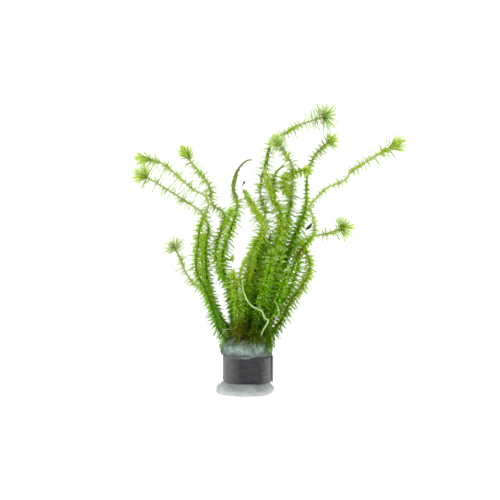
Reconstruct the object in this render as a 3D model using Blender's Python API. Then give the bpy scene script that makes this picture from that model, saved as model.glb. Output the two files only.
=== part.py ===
"""Stream bogmoss bunch: leafy stems standing in a wad of wool with a lead strip wound round it.

Run with: blender --background --python part.py
Metres, +Z up. The origin is the centre of the wool's flat bottom, and +X is the right of the bunch
seen from its front, which faces -Y.
"""

import math

import bmesh
import bpy
import numpy as np
from mathutils import Vector

for old in list(bpy.data.objects):
    bpy.data.objects.remove(old, do_unlink=True)

MM = 0.001

# Gap that touching pieces keep to each other.
GAP = 0.3 * MM

# Lead strip: half an inch wide, wound once round the wool with its end lapped over its start.
STRIP_WIDTH = 12.8 * MM
STRIP_THICK = 0.9 * MM
STRIP_BOTTOM = 6.3 * MM
STRIP_RADIUS = 11.95 * MM      # middle of the metal, where it lies in one layer
LAP_OUTER = 0.80 * MM          # how far the lapping end stands out from that
LAP_INNER = 0.40 * MM          # how far the start is pressed in under it
LAP_FROM, LAP_TO = -8.0, 22.0  # degrees from +X, counter-clockwise seen from above
STRIP_SIDES = 44
CRUMPLE = 0.12 * MM
STRIP_FLARE = 0.4 * MM         # how far the lapping end leans out at its top
STRIP_SWAY = 0.25 * MM         # how far the strip's edges wander up and down

# Wool plug: a wad that the strip squeezes to a waist.
PLUG_HEIGHT = 28.5 * MM
PLUG_SIDES = 28
WAIST_RADIUS = 10.8 * MM
SOCKET_BOTTOM = 19.0 * MM
SOCKET_RADIUS = 1.45 * MM
# Height and radius of the wad's outline, in mm, from the rim of its bottom to the crown.
PLUG_OUTLINE = (
    (0.0, 12.6),
    (1.2, 13.9),
    (3.4, 14.0),
    (5.4, 12.4),
    (5.7, 10.8),
    (19.7, 10.8),
    (19.9, 12.4),
    (21.4, 13.1),
    (23.6, 13.1),
    (25.6, 12.2),
    (27.2, 10.6),
    (28.1, 6.6),
)

# Stems: a thread with needle leaves all round it, which read as one spiky coat.
STEM_RADIUS = 0.6 * MM
WHORL_STEP = 3.3 * MM
LEAF_LIFT = math.radians(28)    # how far the leaves rise from square to the stem
TUFT_LIFT = math.radians(58)    # the same for the last leaves, round the growing tip
TUFT_LENGTH = 7.0 * MM
SPIKES = 3                      # long corners of each ring of the coat, with as many short ones
VALLEY = 0.30                   # share of the leaf reach that a short corner keeps
TIP = 0.45                      # how far the coat runs on past the last ring, as a share of the reach
TWIST = math.radians(13)

# Where each stem runs, foot first: x, y, z and the reach of its leaves there, in mm.
# The first two points stand in the wool. Points lie about 10 mm apart, closer where it bends.
STEMS = {
    # the two long ones that arch out to the left
    "stem_01": (
        (-9.5, -3, 19.2, 0.6), (-9.5, -3, 29.2, 1.0), (-14.2, -3.5, 34, 3), (-17.4, -4, 43.6, 4),
        (-20.6, -4, 52, 4.3), (-24.6, -4, 59, 4.3), (-25.6, -4, 66, 4.3), (-24.6, -4, 74.4, 4.2),
        (-23.8, -4.2, 82.8, 3.8), (-21.1, -5, 89.3, 3), (-19.3, -5, 94.7, 2.6),
        (-21.1, -5, 98.7, 2.6), (-26.5, -5, 101.7, 3), (-33, -4, 107.2, 3.2),
        (-40.5, -3, 113.7, 3.4), (-46.6, -2.2, 116.4, 4.2), (-51.2, -1.7, 117.7, 4.6),
    ),
    "stem_02": (
        (-7.5, 3.5, 19.2, 0.6), (-7.5, 3.5, 29.2, 1.0), (-14.4, 4.4, 35.5, 3), (-18.4, 4.6, 45.5, 3.8),
        (-19.9, 5, 54.5, 4), (-20.9, 5, 63.6, 4), (-21.2, 5, 70.7, 4), (-20.7, 5, 76.7, 3.8),
        (-19.7, 4.6, 82.3, 3.4), (-21.4, 4, 88.3, 2.6), (-24.9, 4, 92.3, 2.6),
        (-29.5, 5, 95.1, 3), (-36.1, 6, 99.4, 3.4), (-44.3, 7, 104.5, 3.8),
        (-48.4, 7.8, 106.9, 4.4), (-52.8, 8.4, 109.4, 4.8),
    ),
    # the shorter one inside them, with its tip leaning left
    "stem_03": (
        (-6, -0.3, 19.2, 0.6), (-6, -0.3, 29.2, 1.0), (-7.6, -0.5, 35.8, 2.6), (-8.6, -1, 45.3, 3.4),
        (-9.9, -1, 53.8, 3.8), (-13.4, -1, 60.8, 4), (-15.7, -1, 67.8, 4.2), (-15.4, 0, 74.8, 4.2),
        (-13.2, 0.5, 81.3, 4), (-11.3, 1, 87.4, 3), (-12.8, 2, 91.3, 2.4), (-16.8, 3, 93.4, 2.4),
        (-18.4, 4, 97, 2.8), (-18.4, 4.5, 101.9, 3.2), (-21.2, 5, 107, 3.4),
        (-25.4, 6, 112, 3.8), (-28.6, 6.8, 116.2, 4.2), (-31, 7.4, 120, 4.6),
    ),
    # the tall dark one with the hooked bare tip
    "stem_04": (
        (-5, -5.5, 19.2, 0.6), (-5, -5.5, 29.2, 1.0), (-5.7, -6.5, 36.4, 2.6), (-6.2, -7.6, 45.3, 3.4),
        (-7.6, -8, 53.2, 3.8), (-11.1, -8, 59.7, 4), (-12.4, -8, 66.1, 4.2), (-11.6, -8, 73, 4.2),
        (-8.9, -8, 80.4, 4.2), (-6.2, -8, 88.3, 4.2), (-4.9, -8.5, 95.2, 3.8), (-7, -9, 102.1, 2.4),
        (-5.9, -9, 108, 1.5), (-3.4, -9, 113.4, 1.1), (-0.7, -9, 115.8, 0.8), (2.2, -9, 116.5, 0.7),
    ),
    # the bright one in front that leans left at its tip
    "stem_05": (
        (-1.5, -7.5, 19.2, 0.6), (-1.5, -7.5, 29.2, 1.0), (-1.2, -8.6, 37.5, 3), (-0.7, -9.6, 47.4, 3.8),
        (-0.2, -10, 56.3, 4), (1.25, -10, 64.7, 4), (2.4, -10, 71.1, 4), (5.4, -9.2, 77.5, 4),
        (7.6, -8.4, 82.3, 3.8), (6.4, -8.2, 87.6, 3.8), (3.2, -8, 92.7, 3.6), (0.75, -8, 97, 4),
        (-1, -8, 100.4, 3.6),
    ),
    # the tallest, with the big tuft high on the right
    "stem_06": (
        (-2, -1.5, 19.2, 0.6), (-2, -1.5, 29.2, 1.0), (-0.75, -1, 37.8, 3), (0.75, -1, 47.8, 4),
        (2.75, -1, 57.8, 4.2), (5.25, -1, 67.8, 4.2), (7.75, -0.5, 76.8, 4.2), (9, 0, 84.8, 4),
        (8.45, 0, 91.8, 4), (6.45, 0, 98.8, 3.8), (6.75, 0, 105.8, 3.6), (9, 1, 113.3, 3.4),
        (10.3, 2, 120.4, 3.2), (12.8, 2.2, 126.4, 3), (18.3, 3, 130, 3), (24.9, 3, 134, 3.6),
        (31.4, 3, 136.3, 4.4), (35.8, 3, 137.9, 5.6), (39.2, 3, 140.6, 7),
    ),
    # the thick one in the middle
    "stem_07": (
        (1.5, -4, 19.2, 0.6), (1.5, -4, 29.2, 1.0), (2.2, -4.5, 39.2, 3), (4.7, -5, 49.1, 4),
        (7.7, -5, 59, 4.2), (11.2, -5, 68.5, 4.2), (14.6, -5, 77.4, 4.2), (16.8, -5, 85.4, 4.2),
        (15.9, -5, 91.8, 4.2), (12.9, -5, 97.2, 4), (10.7, -5, 103.7, 3.8), (9.4, -5, 109.6, 3.8),
    ),
    # right of the middle, its tip bent over to the left
    "stem_08": (
        (4.5, 0.5, 19.2, 0.6), (4.5, 0.5, 29.2, 1.0), (4.9, 1, 38.8, 3), (7.25, 1.6, 48.8, 4),
        (10.3, 2, 58.8, 4.2), (13.8, 2.5, 68.8, 4.2), (17.3, 3, 78.3, 4.2), (20.1, 3, 87.3, 4.2),
        (21.3, 2.2, 95.8, 3.6), (22.2, 0, 103.3, 3), (22, -2, 109.2, 2.6), (21.9, -4, 114.4, 3),
        (18.8, -6, 119.5, 3.2), (15.2, -7.6, 124.6, 4.2),
    ),
    # the upright one on the right, behind
    "stem_09": (
        (8, 3, 19.2, 0.6), (8, 3, 29.2, 1.0), (9.3, 4, 38.5, 3), (12.3, 5, 48, 4),
        (15.9, 6, 57.5, 4.2), (19.5, 7, 67.1, 4.2), (23, 8, 76.2, 4.2), (26.3, 8, 84.3, 4),
        (28.9, 8, 90.9, 3.6), (29.7, 8, 97.9, 2.6), (30, 8, 106, 2), (31.4, 8, 113.1, 2),
        (34.7, 8, 120.2, 2.6), (39.2, 7, 124.2, 3.8), (42.4, 7, 127.4, 4.4),
    ),
    # the longest, which loops out bare on the right and ends in the far tuft
    "stem_10": (
        (7.5, -1.5, 19.2, 0.6), (7.5, -1.5, 29.2, 1.0), (9.7, -2.5, 37.9, 2.6), (13.2, -3, 46, 3.2),
        (17.2, -3.5, 53, 3), (21.1, -4, 59.5, 2.4), (23.8, -4, 65.9, 2), (25.6, -4.5, 70.4, 2),
        (29, -5, 75.1, 2.2), (32.5, -5, 78.9, 2.4), (33.5, -5, 83.7, 2.2), (32, -5, 89.5, 1.8),
        (30.9, -4.4, 93.5, 1.8), (34.5, -4, 98, 2), (39, -5, 102.5, 2), (44.3, -6, 104.8, 2),
        (48.8, -7, 107.1, 2), (51.6, -7, 111.3, 2.4), (57.5, -8, 114.9, 3.2),
        (65.3, -9, 119.6, 3.8), (69.6, -9.6, 121.8, 4.6), (73.2, -10, 123.9, 4.8),
    ),
    # the low one on the right edge
    "stem_11": (
        (10, -4.5, 19.2, 0.6), (10, -4.5, 28.6, 1.0), (13.7, -4.2, 32.2, 2.6), (18.1, -4, 39.6, 4),
        (21.8, -4, 47.1, 4.6), (26.2, -3, 52.5, 4.6), (29.7, -2, 58.4, 4.4), (31.2, -1, 63.8, 4),
        (30.2, 0, 68.3, 3.8), (28.6, 1, 72.4, 3.4),
    ),
    # behind, leaning right, with a tuft that stands clear of the bunch
    "stem_12": (
        (5.5, 6.5, 19.2, 0.6), (5.5, 6.5, 29.2, 1.0), (7.3, 9, 40.1, 3), (10.4, 11, 50.1, 4),
        (15, 13, 60.2, 4.2), (20.7, 15, 68.9, 4), (27.5, 17, 75.5, 3.2), (34.2, 18, 78.6, 2.4),
        (41.5, 19, 79.8, 3), (47, 20, 81.9, 4.2), (50.4, 20.6, 83.2, 4.4),
    ),
    # the shorter ones that fill the heart and the back of the bunch
    "stem_13": (
        (0.5, 3, 19.2, 0.6), (0.5, 3, 29.2, 1.0), (0.8, 4.6, 38, 3), (3.2, 6, 49, 4),
        (6.6, 7.2, 60, 4.2), (9.6, 8.2, 70.4, 4.2), (11.6, 8.9, 79, 4),
    ),
    "stem_14": (
        (-4, 4, 19.2, 0.6), (-4, 4, 29.2, 1.0), (-2.8, 7.4, 38, 3), (-1, 10, 48.6, 4),
        (0.8, 11.6, 58.8, 4.2), (3.4, 12.4, 68.4, 4.2), (6, 12.8, 77.4, 4),
    ),
    "stem_15": (
        (2, 7.5, 19.2, 0.6), (2, 7.5, 29.2, 1.0), (3.6, 11.6, 38, 3), (7.4, 15.4, 49.4, 4),
        (12, 17.6, 60, 4.2), (16, 19.6, 70.4, 4.2), (19, 21.6, 80, 4.2), (20.2, 23, 87, 4),
    ),
    "stem_16": (
        (-2, 8.5, 19.2, 0.6), (-2, 8.5, 28.6, 1.0), (-1.4, 13.6, 37, 3), (0.4, 18.4, 47, 4),
        (2.8, 22, 57, 4.2), (5.6, 24, 67.4, 4.2), (8.2, 24.6, 78, 4),
    ),
    "stem_17": (
        (8.5, 6, 19.2, 0.6), (8.5, 6, 28.6, 1.0), (12.4, 8.4, 35.4, 3), (17.2, 10, 44.4, 4),
        (22, 11, 52.8, 4.2), (25, 11.4, 61, 4.2), (26.4, 11, 67.6, 3.8),
    ),
    "stem_18": (
        (-7, 7, 19.2, 0.6), (-7, 7, 28.6, 1.0), (-12.6, 10, 36, 3), (-18.4, 12.4, 46.4, 4),
        (-21.6, 13.8, 57, 4.2), (-23.2, 14.4, 67.6, 4.2), (-22.8, 14, 77, 4),
    ),
    "stem_19": (
        (2.5, -8.5, 19.2, 0.6), (2.5, -8.5, 28.6, 1.0), (4, -11, 35.6, 3), (6.4, -13, 45, 4),
        (8.8, -13.8, 54.4, 4.2), (10.8, -13.4, 63, 4.2), (12, -12.6, 70.4, 4),
    ),
    "stem_20": (
        (6, -6.5, 19.2, 0.6), (6, -6.5, 28.6, 1.0), (9.4, -9.6, 35.6, 3), (13.4, -11.4, 44.6, 4),
        (16.8, -12.4, 53.4, 4.2), (19.2, -12.6, 61.6, 4),
    ),
    "stem_21": (
        (4.7, -3.4, 19.2, 0.6), (4.7, -3.4, 29.2, 1.0), (6.6, -4.8, 38, 3), (9.2, -6.4, 48, 4),
        (12, -7.6, 57, 4.2), (14.8, -8.4, 65, 4.2), (16.6, -8.8, 71.6, 4),
    ),
    "stem_22": (
        (-4.8, -9, 19.2, 0.6), (-4.8, -9, 28.6, 1.0), (-4.4, -12, 36, 3), (-4.6, -13.4, 45, 4),
        (-6, -13.4, 53, 4.2), (-8, -13, 59.4, 4.2),
    ),
}

# Shoots that fork from a stem: the stem's name, then the same kind of points from the fork out.
SIDE_SHOOTS = {
    "side_shoot_01": ("stem_02", (
        (-20.5, 5.8, 48.6, 0.8), (-24.6, 7.2, 52.4, 2.6), (-28.9, 9.2, 56.4, 3.4),
        (-32.1, 11, 61.3, 3.6), (-34.4, 12.2, 67.4, 4), (-37.6, 13.6, 73, 4.2),
    )),
    "side_shoot_02": ("stem_07", (
        (13.4, -3.4, 99.4, 0.8), (13.2, -2.2, 103.7, 2.6), (13.6, -0.8, 108.5, 3),
        (15.6, -0.4, 111.8, 3.2), (18, -0.4, 114.2, 3.4),
    )),
    "side_shoot_03": ("stem_08", (
        (20.6, -0.9, 100.3, 0.8), (18.4, -2.2, 102.3, 2.4), (17.7, -3.2, 105.2, 3),
        (18.6, -4.4, 108.2, 3.4),
    )),
    "side_shoot_04": ("stem_08", (
        (23.6, -3, 110.2, 0.8), (26.1, -4.2, 111.3, 2.4), (28.6, -5, 111.3, 3), (31, -5.8, 110.9, 3.6),
    )),
    "side_shoot_05": ("stem_03", (
        (-12.6, -1.2, 83.6, 0.8), (-10.4, -2.4, 85.4, 2.4), (-8.8, -2.2, 88.2, 3), (-8.4, -2, 91.4, 3),
    )),
}

# The bare pale strand that lies across the front of the bunch, and its radius.
PALE_ROOT = (
    (6.2, -9.4, 27.6), (6.6, -12.2, 30.6), (7.6, -15.8, 34.6), (8.3, -18, 39), (6.4, -18.4, 42.4),
    (3.4, -18, 44.2), (1.2, -17.4, 46.2), (-0.7, -17, 49), (-2, -16.4, 53.4), (-2.7, -16, 57.2),
)
PALE_ROOT_RADIUS = 0.5 * MM


def metres(row):
    """A row of millimetres as an array of metres."""
    return np.array(row, dtype=float) * MM


def finish_colour(name, colour, roughness, metallic=0.0):
    """A Principled material."""
    material = bpy.data.materials.new(name)
    material.use_nodes = True
    shader = material.node_tree.nodes["Principled BSDF"]
    shader.inputs["Base Color"].default_value = (*colour, 1.0)
    shader.inputs["Roughness"].default_value = roughness
    shader.inputs["Metallic"].default_value = metallic
    material.diffuse_color = (*colour, 1.0)
    return material


def add_object(name, mesh_data, material):
    """Link a finished bmesh as one object with outward faces."""
    bmesh.ops.recalc_face_normals(mesh_data, faces=mesh_data.faces)
    mesh = bpy.data.meshes.new(name)
    mesh_data.to_mesh(mesh)
    mesh_data.free()
    mesh.materials.append(material)
    piece = bpy.data.objects.new(name, mesh)
    bpy.context.scene.collection.objects.link(piece)
    return piece


def skin_rings(rings, closed_top=None):
    """A bmesh through rings of points, capped at both ends or drawn to one last point."""
    mesh_data = bmesh.new()
    rows = [[mesh_data.verts.new(Vector(point)) for point in ring] for ring in rings]
    count = len(rows[0])
    for low, high in zip(rows, rows[1:]):
        for i in range(count):
            k = (i + 1) % count
            mesh_data.faces.new((low[i], low[k], high[k], high[i]))
    mesh_data.faces.new(rows[0])
    if closed_top is None:
        mesh_data.faces.new(rows[-1])
    else:
        tip = mesh_data.verts.new(Vector(closed_top))
        for i in range(count):
            mesh_data.faces.new((rows[-1][i], rows[-1][(i + 1) % count], tip))
    return mesh_data


def smooth_line(points, step):
    """Points a step apart along a smooth curve through the given ones, foot to tip."""
    points = np.asarray(points)
    before = 2 * points[0] - points[1]
    after = 2 * points[-1] - points[-2]
    padded = np.vstack([before, points, after])
    fine = []
    for i in range(1, len(padded) - 2):
        a, b, c, d = padded[i - 1:i + 3]
        for t in np.linspace(0, 1, 24, endpoint=False):
            fine.append(0.5 * (2 * b + (c - a) * t + (2 * a - 5 * b + 4 * c - d) * t ** 2
                               + (3 * b - 3 * c + d - a) * t ** 3))
    fine.append(points[-1])
    fine = np.array(fine)
    along = np.concatenate([[0], np.cumsum(np.linalg.norm(np.diff(fine[:, :3], axis=0), axis=1))])
    count = max(3, round(along[-1] / step) + 1)
    at = np.linspace(0, along[-1], count)
    return np.column_stack([np.interp(at, along, fine[:, i]) for i in range(fine.shape[1])])


def side_vectors(line):
    """The direction of a line at each point, with two more square to it that don't spin."""
    ahead = np.gradient(line, axis=0)
    ahead /= np.linalg.norm(ahead, axis=1)[:, None]
    side = np.cross(ahead[0], (0.0, 1.0, 0.0))
    sides = []
    for direction in ahead:
        side = side - direction * side.dot(direction)
        side /= np.linalg.norm(side)
        sides.append(side)
    sides = np.array(sides)
    return ahead, sides, np.cross(ahead, sides)


class Neighbours:
    """The centre-lines of all stems, to keep each coat of leaves out of the next one."""

    def __init__(self, routes, forks):
        self.lines = {name: smooth_line(route, 1.0 * MM) for name, route in routes.items()}
        self.forks = forks

    def kin(self, name):
        """The stems that a stem forks from, or that fork from it."""
        return [other for pair in self.forks for other in pair if name in pair and other != name]

    def crowd(self, name, near_kin):
        """The points and leaf reaches of a stem's kin, or of all the others."""
        kin = self.kin(name)
        chosen = [line for other, line in self.lines.items()
                  if other != name and (other in kin) == near_kin]
        return np.vstack(chosen) if chosen else np.empty((0, 4))

    def round_limit(self, name, centres, reach):
        """Reach of each ring that stays clear of the stem's kin, the same all round."""
        kin = self.crowd(name, True)
        if not len(kin):
            return reach
        apart = np.linalg.norm(centres[:, None] - kin[None, :, :3], axis=2)
        own_leaf = np.maximum(reach[:, None] - STEM_RADIUS, 1e-5)
        kin_leaf = np.maximum(kin[None, :, 3] - STEM_RADIUS, 1e-5)
        room = np.maximum(apart - GAP - 2 * STEM_RADIUS, 0)
        allowed = STEM_RADIUS + room * own_leaf / (own_leaf + kin_leaf)
        return np.minimum(reach, allowed.min(axis=1))

    def corner_limit(self, name, centres, directions, reach):
        """Reach of each leaf tip that stays on its own side of the gap to the next coat."""
        others = self.crowd(name, False)
        limit = np.full(len(reach), STEM_RADIUS)
        for share in np.linspace(0.0, 1.0, 21):
            wanted = STEM_RADIUS + (reach - STEM_RADIUS) * share
            tips = centres + directions * wanted[:, None]
            apart = np.linalg.norm(tips[:, None] - others[None, :, :3], axis=2)
            clear = apart - np.minimum(wanted[:, None], others[None, :, 3]) > 2 * GAP
            limit = np.where(clear.all(axis=1), np.maximum(limit, wanted), limit)
        return limit


def leafy_coat(name, route, neighbours):
    """One stem with its leaves as a closed coat of spikes, from rings that alternate."""
    line = smooth_line(route, WHORL_STEP)
    centres = line[:, :3]
    ahead, side, across = side_vectors(centres)
    reach = neighbours.round_limit(name, centres, line[:, 3])
    left = np.linalg.norm(centres - centres[-1], axis=1)
    near_tip = np.clip(1 - left / TUFT_LENGTH, 0, 1)
    lift = LEAF_LIFT + (TUFT_LIFT - LEAF_LIFT) * near_tip

    corners = 2 * SPIKES
    starts, directions, reaches = [], [], []
    for i in range(len(centres)):
        for j in range(corners):
            angle = 2 * math.pi * j / corners + i * TWIST
            out = side[i] * math.cos(angle) + across[i] * math.sin(angle)
            is_long = (i + j) % 2 == 0
            rise = lift[i] if is_long else 0.0
            starts.append(centres[i])
            directions.append(out * math.cos(rise) + ahead[i] * math.sin(rise))
            leaf = max(reach[i], STEM_RADIUS)
            reaches.append(leaf if is_long else STEM_RADIUS + (leaf - STEM_RADIUS) * VALLEY)
    starts, directions, reaches = map(np.array, (starts, directions, reaches))
    reaches = neighbours.corner_limit(name, starts, directions, reaches)
    points = (starts + directions * reaches[:, None]).reshape(len(centres), corners, 3)
    return skin_rings(points, centres[-1] + ahead[-1] * TIP * reach[-1])


def strip_radius(angle, layer_end):
    """Radius of the middle of the metal at an angle along the strip, in degrees from its lapping end."""
    lap = LAP_TO - LAP_FROM
    outer = max(0.0, 1 - max(0.0, angle - lap) / 50.0)
    inner = max(0.0, 1 - max(0.0, layer_end - lap - angle) / 40.0)
    return STRIP_RADIUS + LAP_OUTER * outer ** 1.5 - LAP_INNER * inner ** 1.5


def lead_strip():
    """The wound strip: one closed ribbon whose ends lap without touching."""
    turn = 360.0 + LAP_TO - LAP_FROM
    rings = []
    for i in range(STRIP_SIDES + 1):
        along = turn * i / STRIP_SIDES
        angle = math.radians(LAP_FROM + along)
        radius = strip_radius(along, turn)
        flare = STRIP_FLARE * max(0.0, 1 - along / 30.0)
        section = []
        for height, face in ((0, -1), (1, -1), (1, 1), (0.62, 1), (0.24, 1), (0.1, 1), (0, 1)):
            dent = 0.0
            if face > 0 and 0 < height < 1:
                dent = CRUMPLE * math.sin(5.0 * angle + 9.0 * height) - 0.5 * CRUMPLE
            r = radius + face * STRIP_THICK / 2 + flare * height + dent
            sway = STRIP_SWAY * math.sin(angle + 0.6)
            section.append((r * math.cos(angle), r * math.sin(angle),
                            STRIP_BOTTOM + STRIP_WIDTH * height + sway))
        rings.append(section)
    material = finish_colour("lead_strip", (0.075, 0.07, 0.075), 0.55, 0.6)
    return add_object("lead_strip", skin_rings(rings), material)


def plug_ring(height, radius):
    """One ring of the wad, lumpy where no strip holds it and stretched to the left at its foot."""
    ring = []
    loose = max(0.0, min(1.0, (radius * MM - WAIST_RADIUS) / (1.5 * MM)))
    foot = max(0.0, 1 - height / 5.5)
    for i in range(PLUG_SIDES):
        angle = 2 * math.pi * i / PLUG_SIDES
        lumps = 0.022 * math.sin(3 * angle + 0.25 * height) + 0.016 * math.sin(7 * angle + 1.1)
        left = max(0.0, -math.cos(angle)) ** 3
        r = radius * (1 + loose * lumps) + 2.0 * left * foot * min(1.0, height / 1.2 + 0.5)
        ring.append((r * MM * math.cos(angle), r * MM * math.sin(angle), height * MM))
    return ring


def wool_plug(feet):
    """The wad of wool, with a narrow socket for the foot of each stem."""
    rings = [plug_ring(height, radius) for height, radius in PLUG_OUTLINE]
    crown = (0.0, 0.0, PLUG_HEIGHT)
    material = finish_colour("wool_plug", (0.42, 0.52, 0.48), 0.95)
    plug = add_object("wool_plug", skin_rings(rings, crown), material)

    cutter_data = bmesh.new()
    for x, y in feet:
        angles = [math.pi * i / 3 for i in range(6)]
        ring = [(x + SOCKET_RADIUS * math.cos(a), y + SOCKET_RADIUS * math.sin(a)) for a in angles]
        low = [cutter_data.verts.new((px, py, SOCKET_BOTTOM - GAP)) for px, py in ring]
        high = [cutter_data.verts.new((px, py, PLUG_HEIGHT + 4 * MM)) for px, py in ring]
        cutter_data.faces.new(low)
        cutter_data.faces.new(high)
        for i in range(6):
            k = (i + 1) % 6
            cutter_data.faces.new((low[i], low[k], high[k], high[i]))
    cutter = add_object("socket_cutter", cutter_data, material)
    cutter.hide_render = True
    cutter.display_type = "WIRE"
    cut = plug.modifiers.new("sockets", "BOOLEAN")
    cut.operation = "DIFFERENCE"
    cut.object = cutter
    return plug


def pale_root():
    """A thin round strand along its route."""
    line = smooth_line(metres(PALE_ROOT), 2.2 * MM)
    _, side, across = side_vectors(line)
    rings = []
    for i, centre in enumerate(line):
        angles = [2 * math.pi * j / 6 for j in range(6)]
        rings.append([centre + (side[i] * math.cos(a) + across[i] * math.sin(a)) * PALE_ROOT_RADIUS
                      for a in angles])
    material = finish_colour("pale_root", (0.55, 0.62, 0.32), 0.6)
    return add_object("pale_root", skin_rings(rings), material)


def stem_shade(name):
    """A brightness that differs a little from stem to stem."""
    return 0.75 + 0.05 * (int(name[-2:]) * 7 % 10)


def build():
    """Make every piece."""
    routes = {name: metres(points) for name, points in STEMS.items()}
    routes.update({name: metres(points) for name, (_, points) in SIDE_SHOOTS.items()})
    forks = [(name, stem) for name, (stem, _) in SIDE_SHOOTS.items()]
    root_line = np.column_stack([metres(PALE_ROOT), np.full(len(PALE_ROOT), PALE_ROOT_RADIUS)])
    neighbours = Neighbours({**routes, "pale_root": root_line}, forks)
    for name, route in routes.items():
        shade = stem_shade(name)
        material = finish_colour(name, (0.14 * shade, 0.30 * shade, 0.02), 0.6)
        add_object(name, leafy_coat(name, route, neighbours), material)
    pale_root()
    wool_plug([routes[name][0][:2] for name in STEMS])
    lead_strip()


build()
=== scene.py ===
import math

import bmesh
import bpy
import numpy as np
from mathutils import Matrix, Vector, noise


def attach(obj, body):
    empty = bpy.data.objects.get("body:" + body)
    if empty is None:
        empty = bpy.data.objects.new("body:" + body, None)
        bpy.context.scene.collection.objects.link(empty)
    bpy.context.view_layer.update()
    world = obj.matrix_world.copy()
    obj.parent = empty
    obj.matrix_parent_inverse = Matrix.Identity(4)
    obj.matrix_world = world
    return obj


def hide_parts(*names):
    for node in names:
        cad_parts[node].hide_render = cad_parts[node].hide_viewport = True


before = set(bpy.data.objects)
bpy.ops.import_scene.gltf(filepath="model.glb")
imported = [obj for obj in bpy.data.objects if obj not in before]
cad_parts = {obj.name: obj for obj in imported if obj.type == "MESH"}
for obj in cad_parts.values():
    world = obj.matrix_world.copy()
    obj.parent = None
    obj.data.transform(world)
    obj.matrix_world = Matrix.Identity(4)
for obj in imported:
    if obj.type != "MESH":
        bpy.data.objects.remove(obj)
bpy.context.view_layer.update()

# Wool plug.
# A wad of grey-green mineral wool, folded round the feet of the stems. The strip squeezes it to a
# waist, so it bulges above and spreads below, and its fibres lie mostly round it.

MM = 0.001
WOOL_TURNS = 168                 # points round the wad
WOOL_STEP = 0.62                 # mm between two rings of points
WOOL_TOP = 28.6
# Radius and height of the wad's outline, in mm, from the middle of its flat bottom to the crown.
WOOL_OUTLINE = (
    (0.5, 0.0), (6.5, 0.0), (12.4, 0.05), (13.7, 0.9), (14.1, 2.6), (13.4, 4.6), (12.1, 5.9),
    (10.9, 6.6), (10.9, 12.5), (10.9, 18.9), (12.3, 19.55), (13.1, 19.9), (13.35, 21.4),
    (13.1, 23.6), (12.4, 25.6), (10.9, 27.1), (8.0, 28.1), (4.2, 28.5), (0.4, WOOL_TOP),
)
WOOL_WAIST = (6.4, 19.3)         # heights between which the strip holds the wad smooth
LIP_HEIGHT = 19.2                # the height at which the wad folds out over the strip
SPREAD_HEIGHT, SPREAD_SIDE = 5.6, math.radians(188)    # below it the foot spreads most on this side


def clamped(value):
    """A value kept between 0 and 1."""
    return min(1.0, max(0.0, value))


def linked(name, data):
    """An object of the scene with the given data."""
    made = bpy.data.objects.new(name, data)
    bpy.context.scene.collection.objects.link(made)
    return made


def smooth_line(points, step):
    """Points about a step apart on a smooth curve through the given ones."""
    points = np.asarray(points, dtype=float)
    padded = np.vstack([2 * points[0] - points[1], points, 2 * points[-1] - points[-2]])
    fine = []
    for i in range(1, len(padded) - 2):
        a, b, c, d = padded[i - 1:i + 3]
        for t in np.linspace(0, 1, 24, endpoint=False):
            fine.append(0.5 * (2 * b + (c - a) * t + (2 * a - 5 * b + 4 * c - d) * t ** 2
                               + (3 * b - 3 * c + d - a) * t ** 3))
    fine = np.array(fine + [points[-1]])
    along = np.concatenate([[0], np.cumsum(np.linalg.norm(np.diff(fine[:, :3], axis=0), axis=1))])
    at = np.linspace(0, along[-1], max(3, round(along[-1] / step) + 1))
    return np.column_stack([np.interp(at, along, fine[:, i]) for i in range(fine.shape[1])])


def ring_skin(name, rings, first=None, last=None):
    """A mesh object through rings of points, whose ends are faces or are drawn to a point."""
    shape = bmesh.new()
    rows = [[shape.verts.new(Vector(point)) for point in ring] for ring in rings]
    count = len(rows[0])
    for low, high in zip(rows, rows[1:]):
        for i in range(count):
            k = (i + 1) % count
            shape.faces.new((low[i], low[k], high[k], high[i]))
    for row, point in ((rows[0], first), (rows[-1], last)):
        if point is None:
            shape.faces.new(row)
        else:
            pole = shape.verts.new(Vector(point))
            for i in range(count):
                shape.faces.new((row[i], row[(i + 1) % count], pole))
    bmesh.ops.recalc_face_normals(shape, faces=shape.faces)
    mesh = bpy.data.meshes.new(name)
    shape.to_mesh(mesh)
    shape.free()
    mesh.shade_smooth()
    return linked(name, mesh)


def wool_point(radius, height, angle):
    """A point of the wad in metres: lumpy and folded where no strip holds it."""
    low, high = WOOL_WAIST
    loose = clamped(max(low - height, height - high) / 1.2)
    rim = clamped((radius - 6.0) / 5.0)
    around = Vector((math.cos(angle) * 13, math.sin(angle) * 13, height * 1.7))
    folds = noise.fractal(around * 0.16, 1.0, 2.0, 2)
    tufts = noise.fractal(around * 0.55 + Vector((7, 1, 3)), 1.0, 2.1, 3)
    strands = noise.fractal(Vector((around.x * 0.5, around.y * 0.5, height * 2.6)), 1.0, 2.0, 3)
    swell = loose * (0.75 * folds + 0.42 * tufts + 0.22 * strands)
    foot = max(0.0, 1 - height / SPREAD_HEIGHT)
    left = max(0.0, math.cos(angle - SPREAD_SIDE)) ** 3
    right = max(0.0, math.cos(angle)) ** 2 * loose * rim
    r = radius + swell * rim + 2.1 * left * foot * min(1.0, radius / 13) - 1.4 * right
    z = height
    if height > LIP_HEIGHT:
        near_lip = max(0.0, 1 - (height - LIP_HEIGHT) / 1.8) * clamped((radius - 11.2) / 1.2)
        z -= near_lip * (0.55 + 0.75 * math.sin(3 * angle + 0.8) + 0.35 * math.sin(7 * angle))
        z += 0.5 * tufts * (1 - rim) + 0.35 * folds * (1 - rim)
    elif 0.02 < height < low:
        z += 0.25 * tufts * loose
    return (r * MM * math.cos(angle), r * MM * math.sin(angle), max(0.0, z) * MM)


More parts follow.
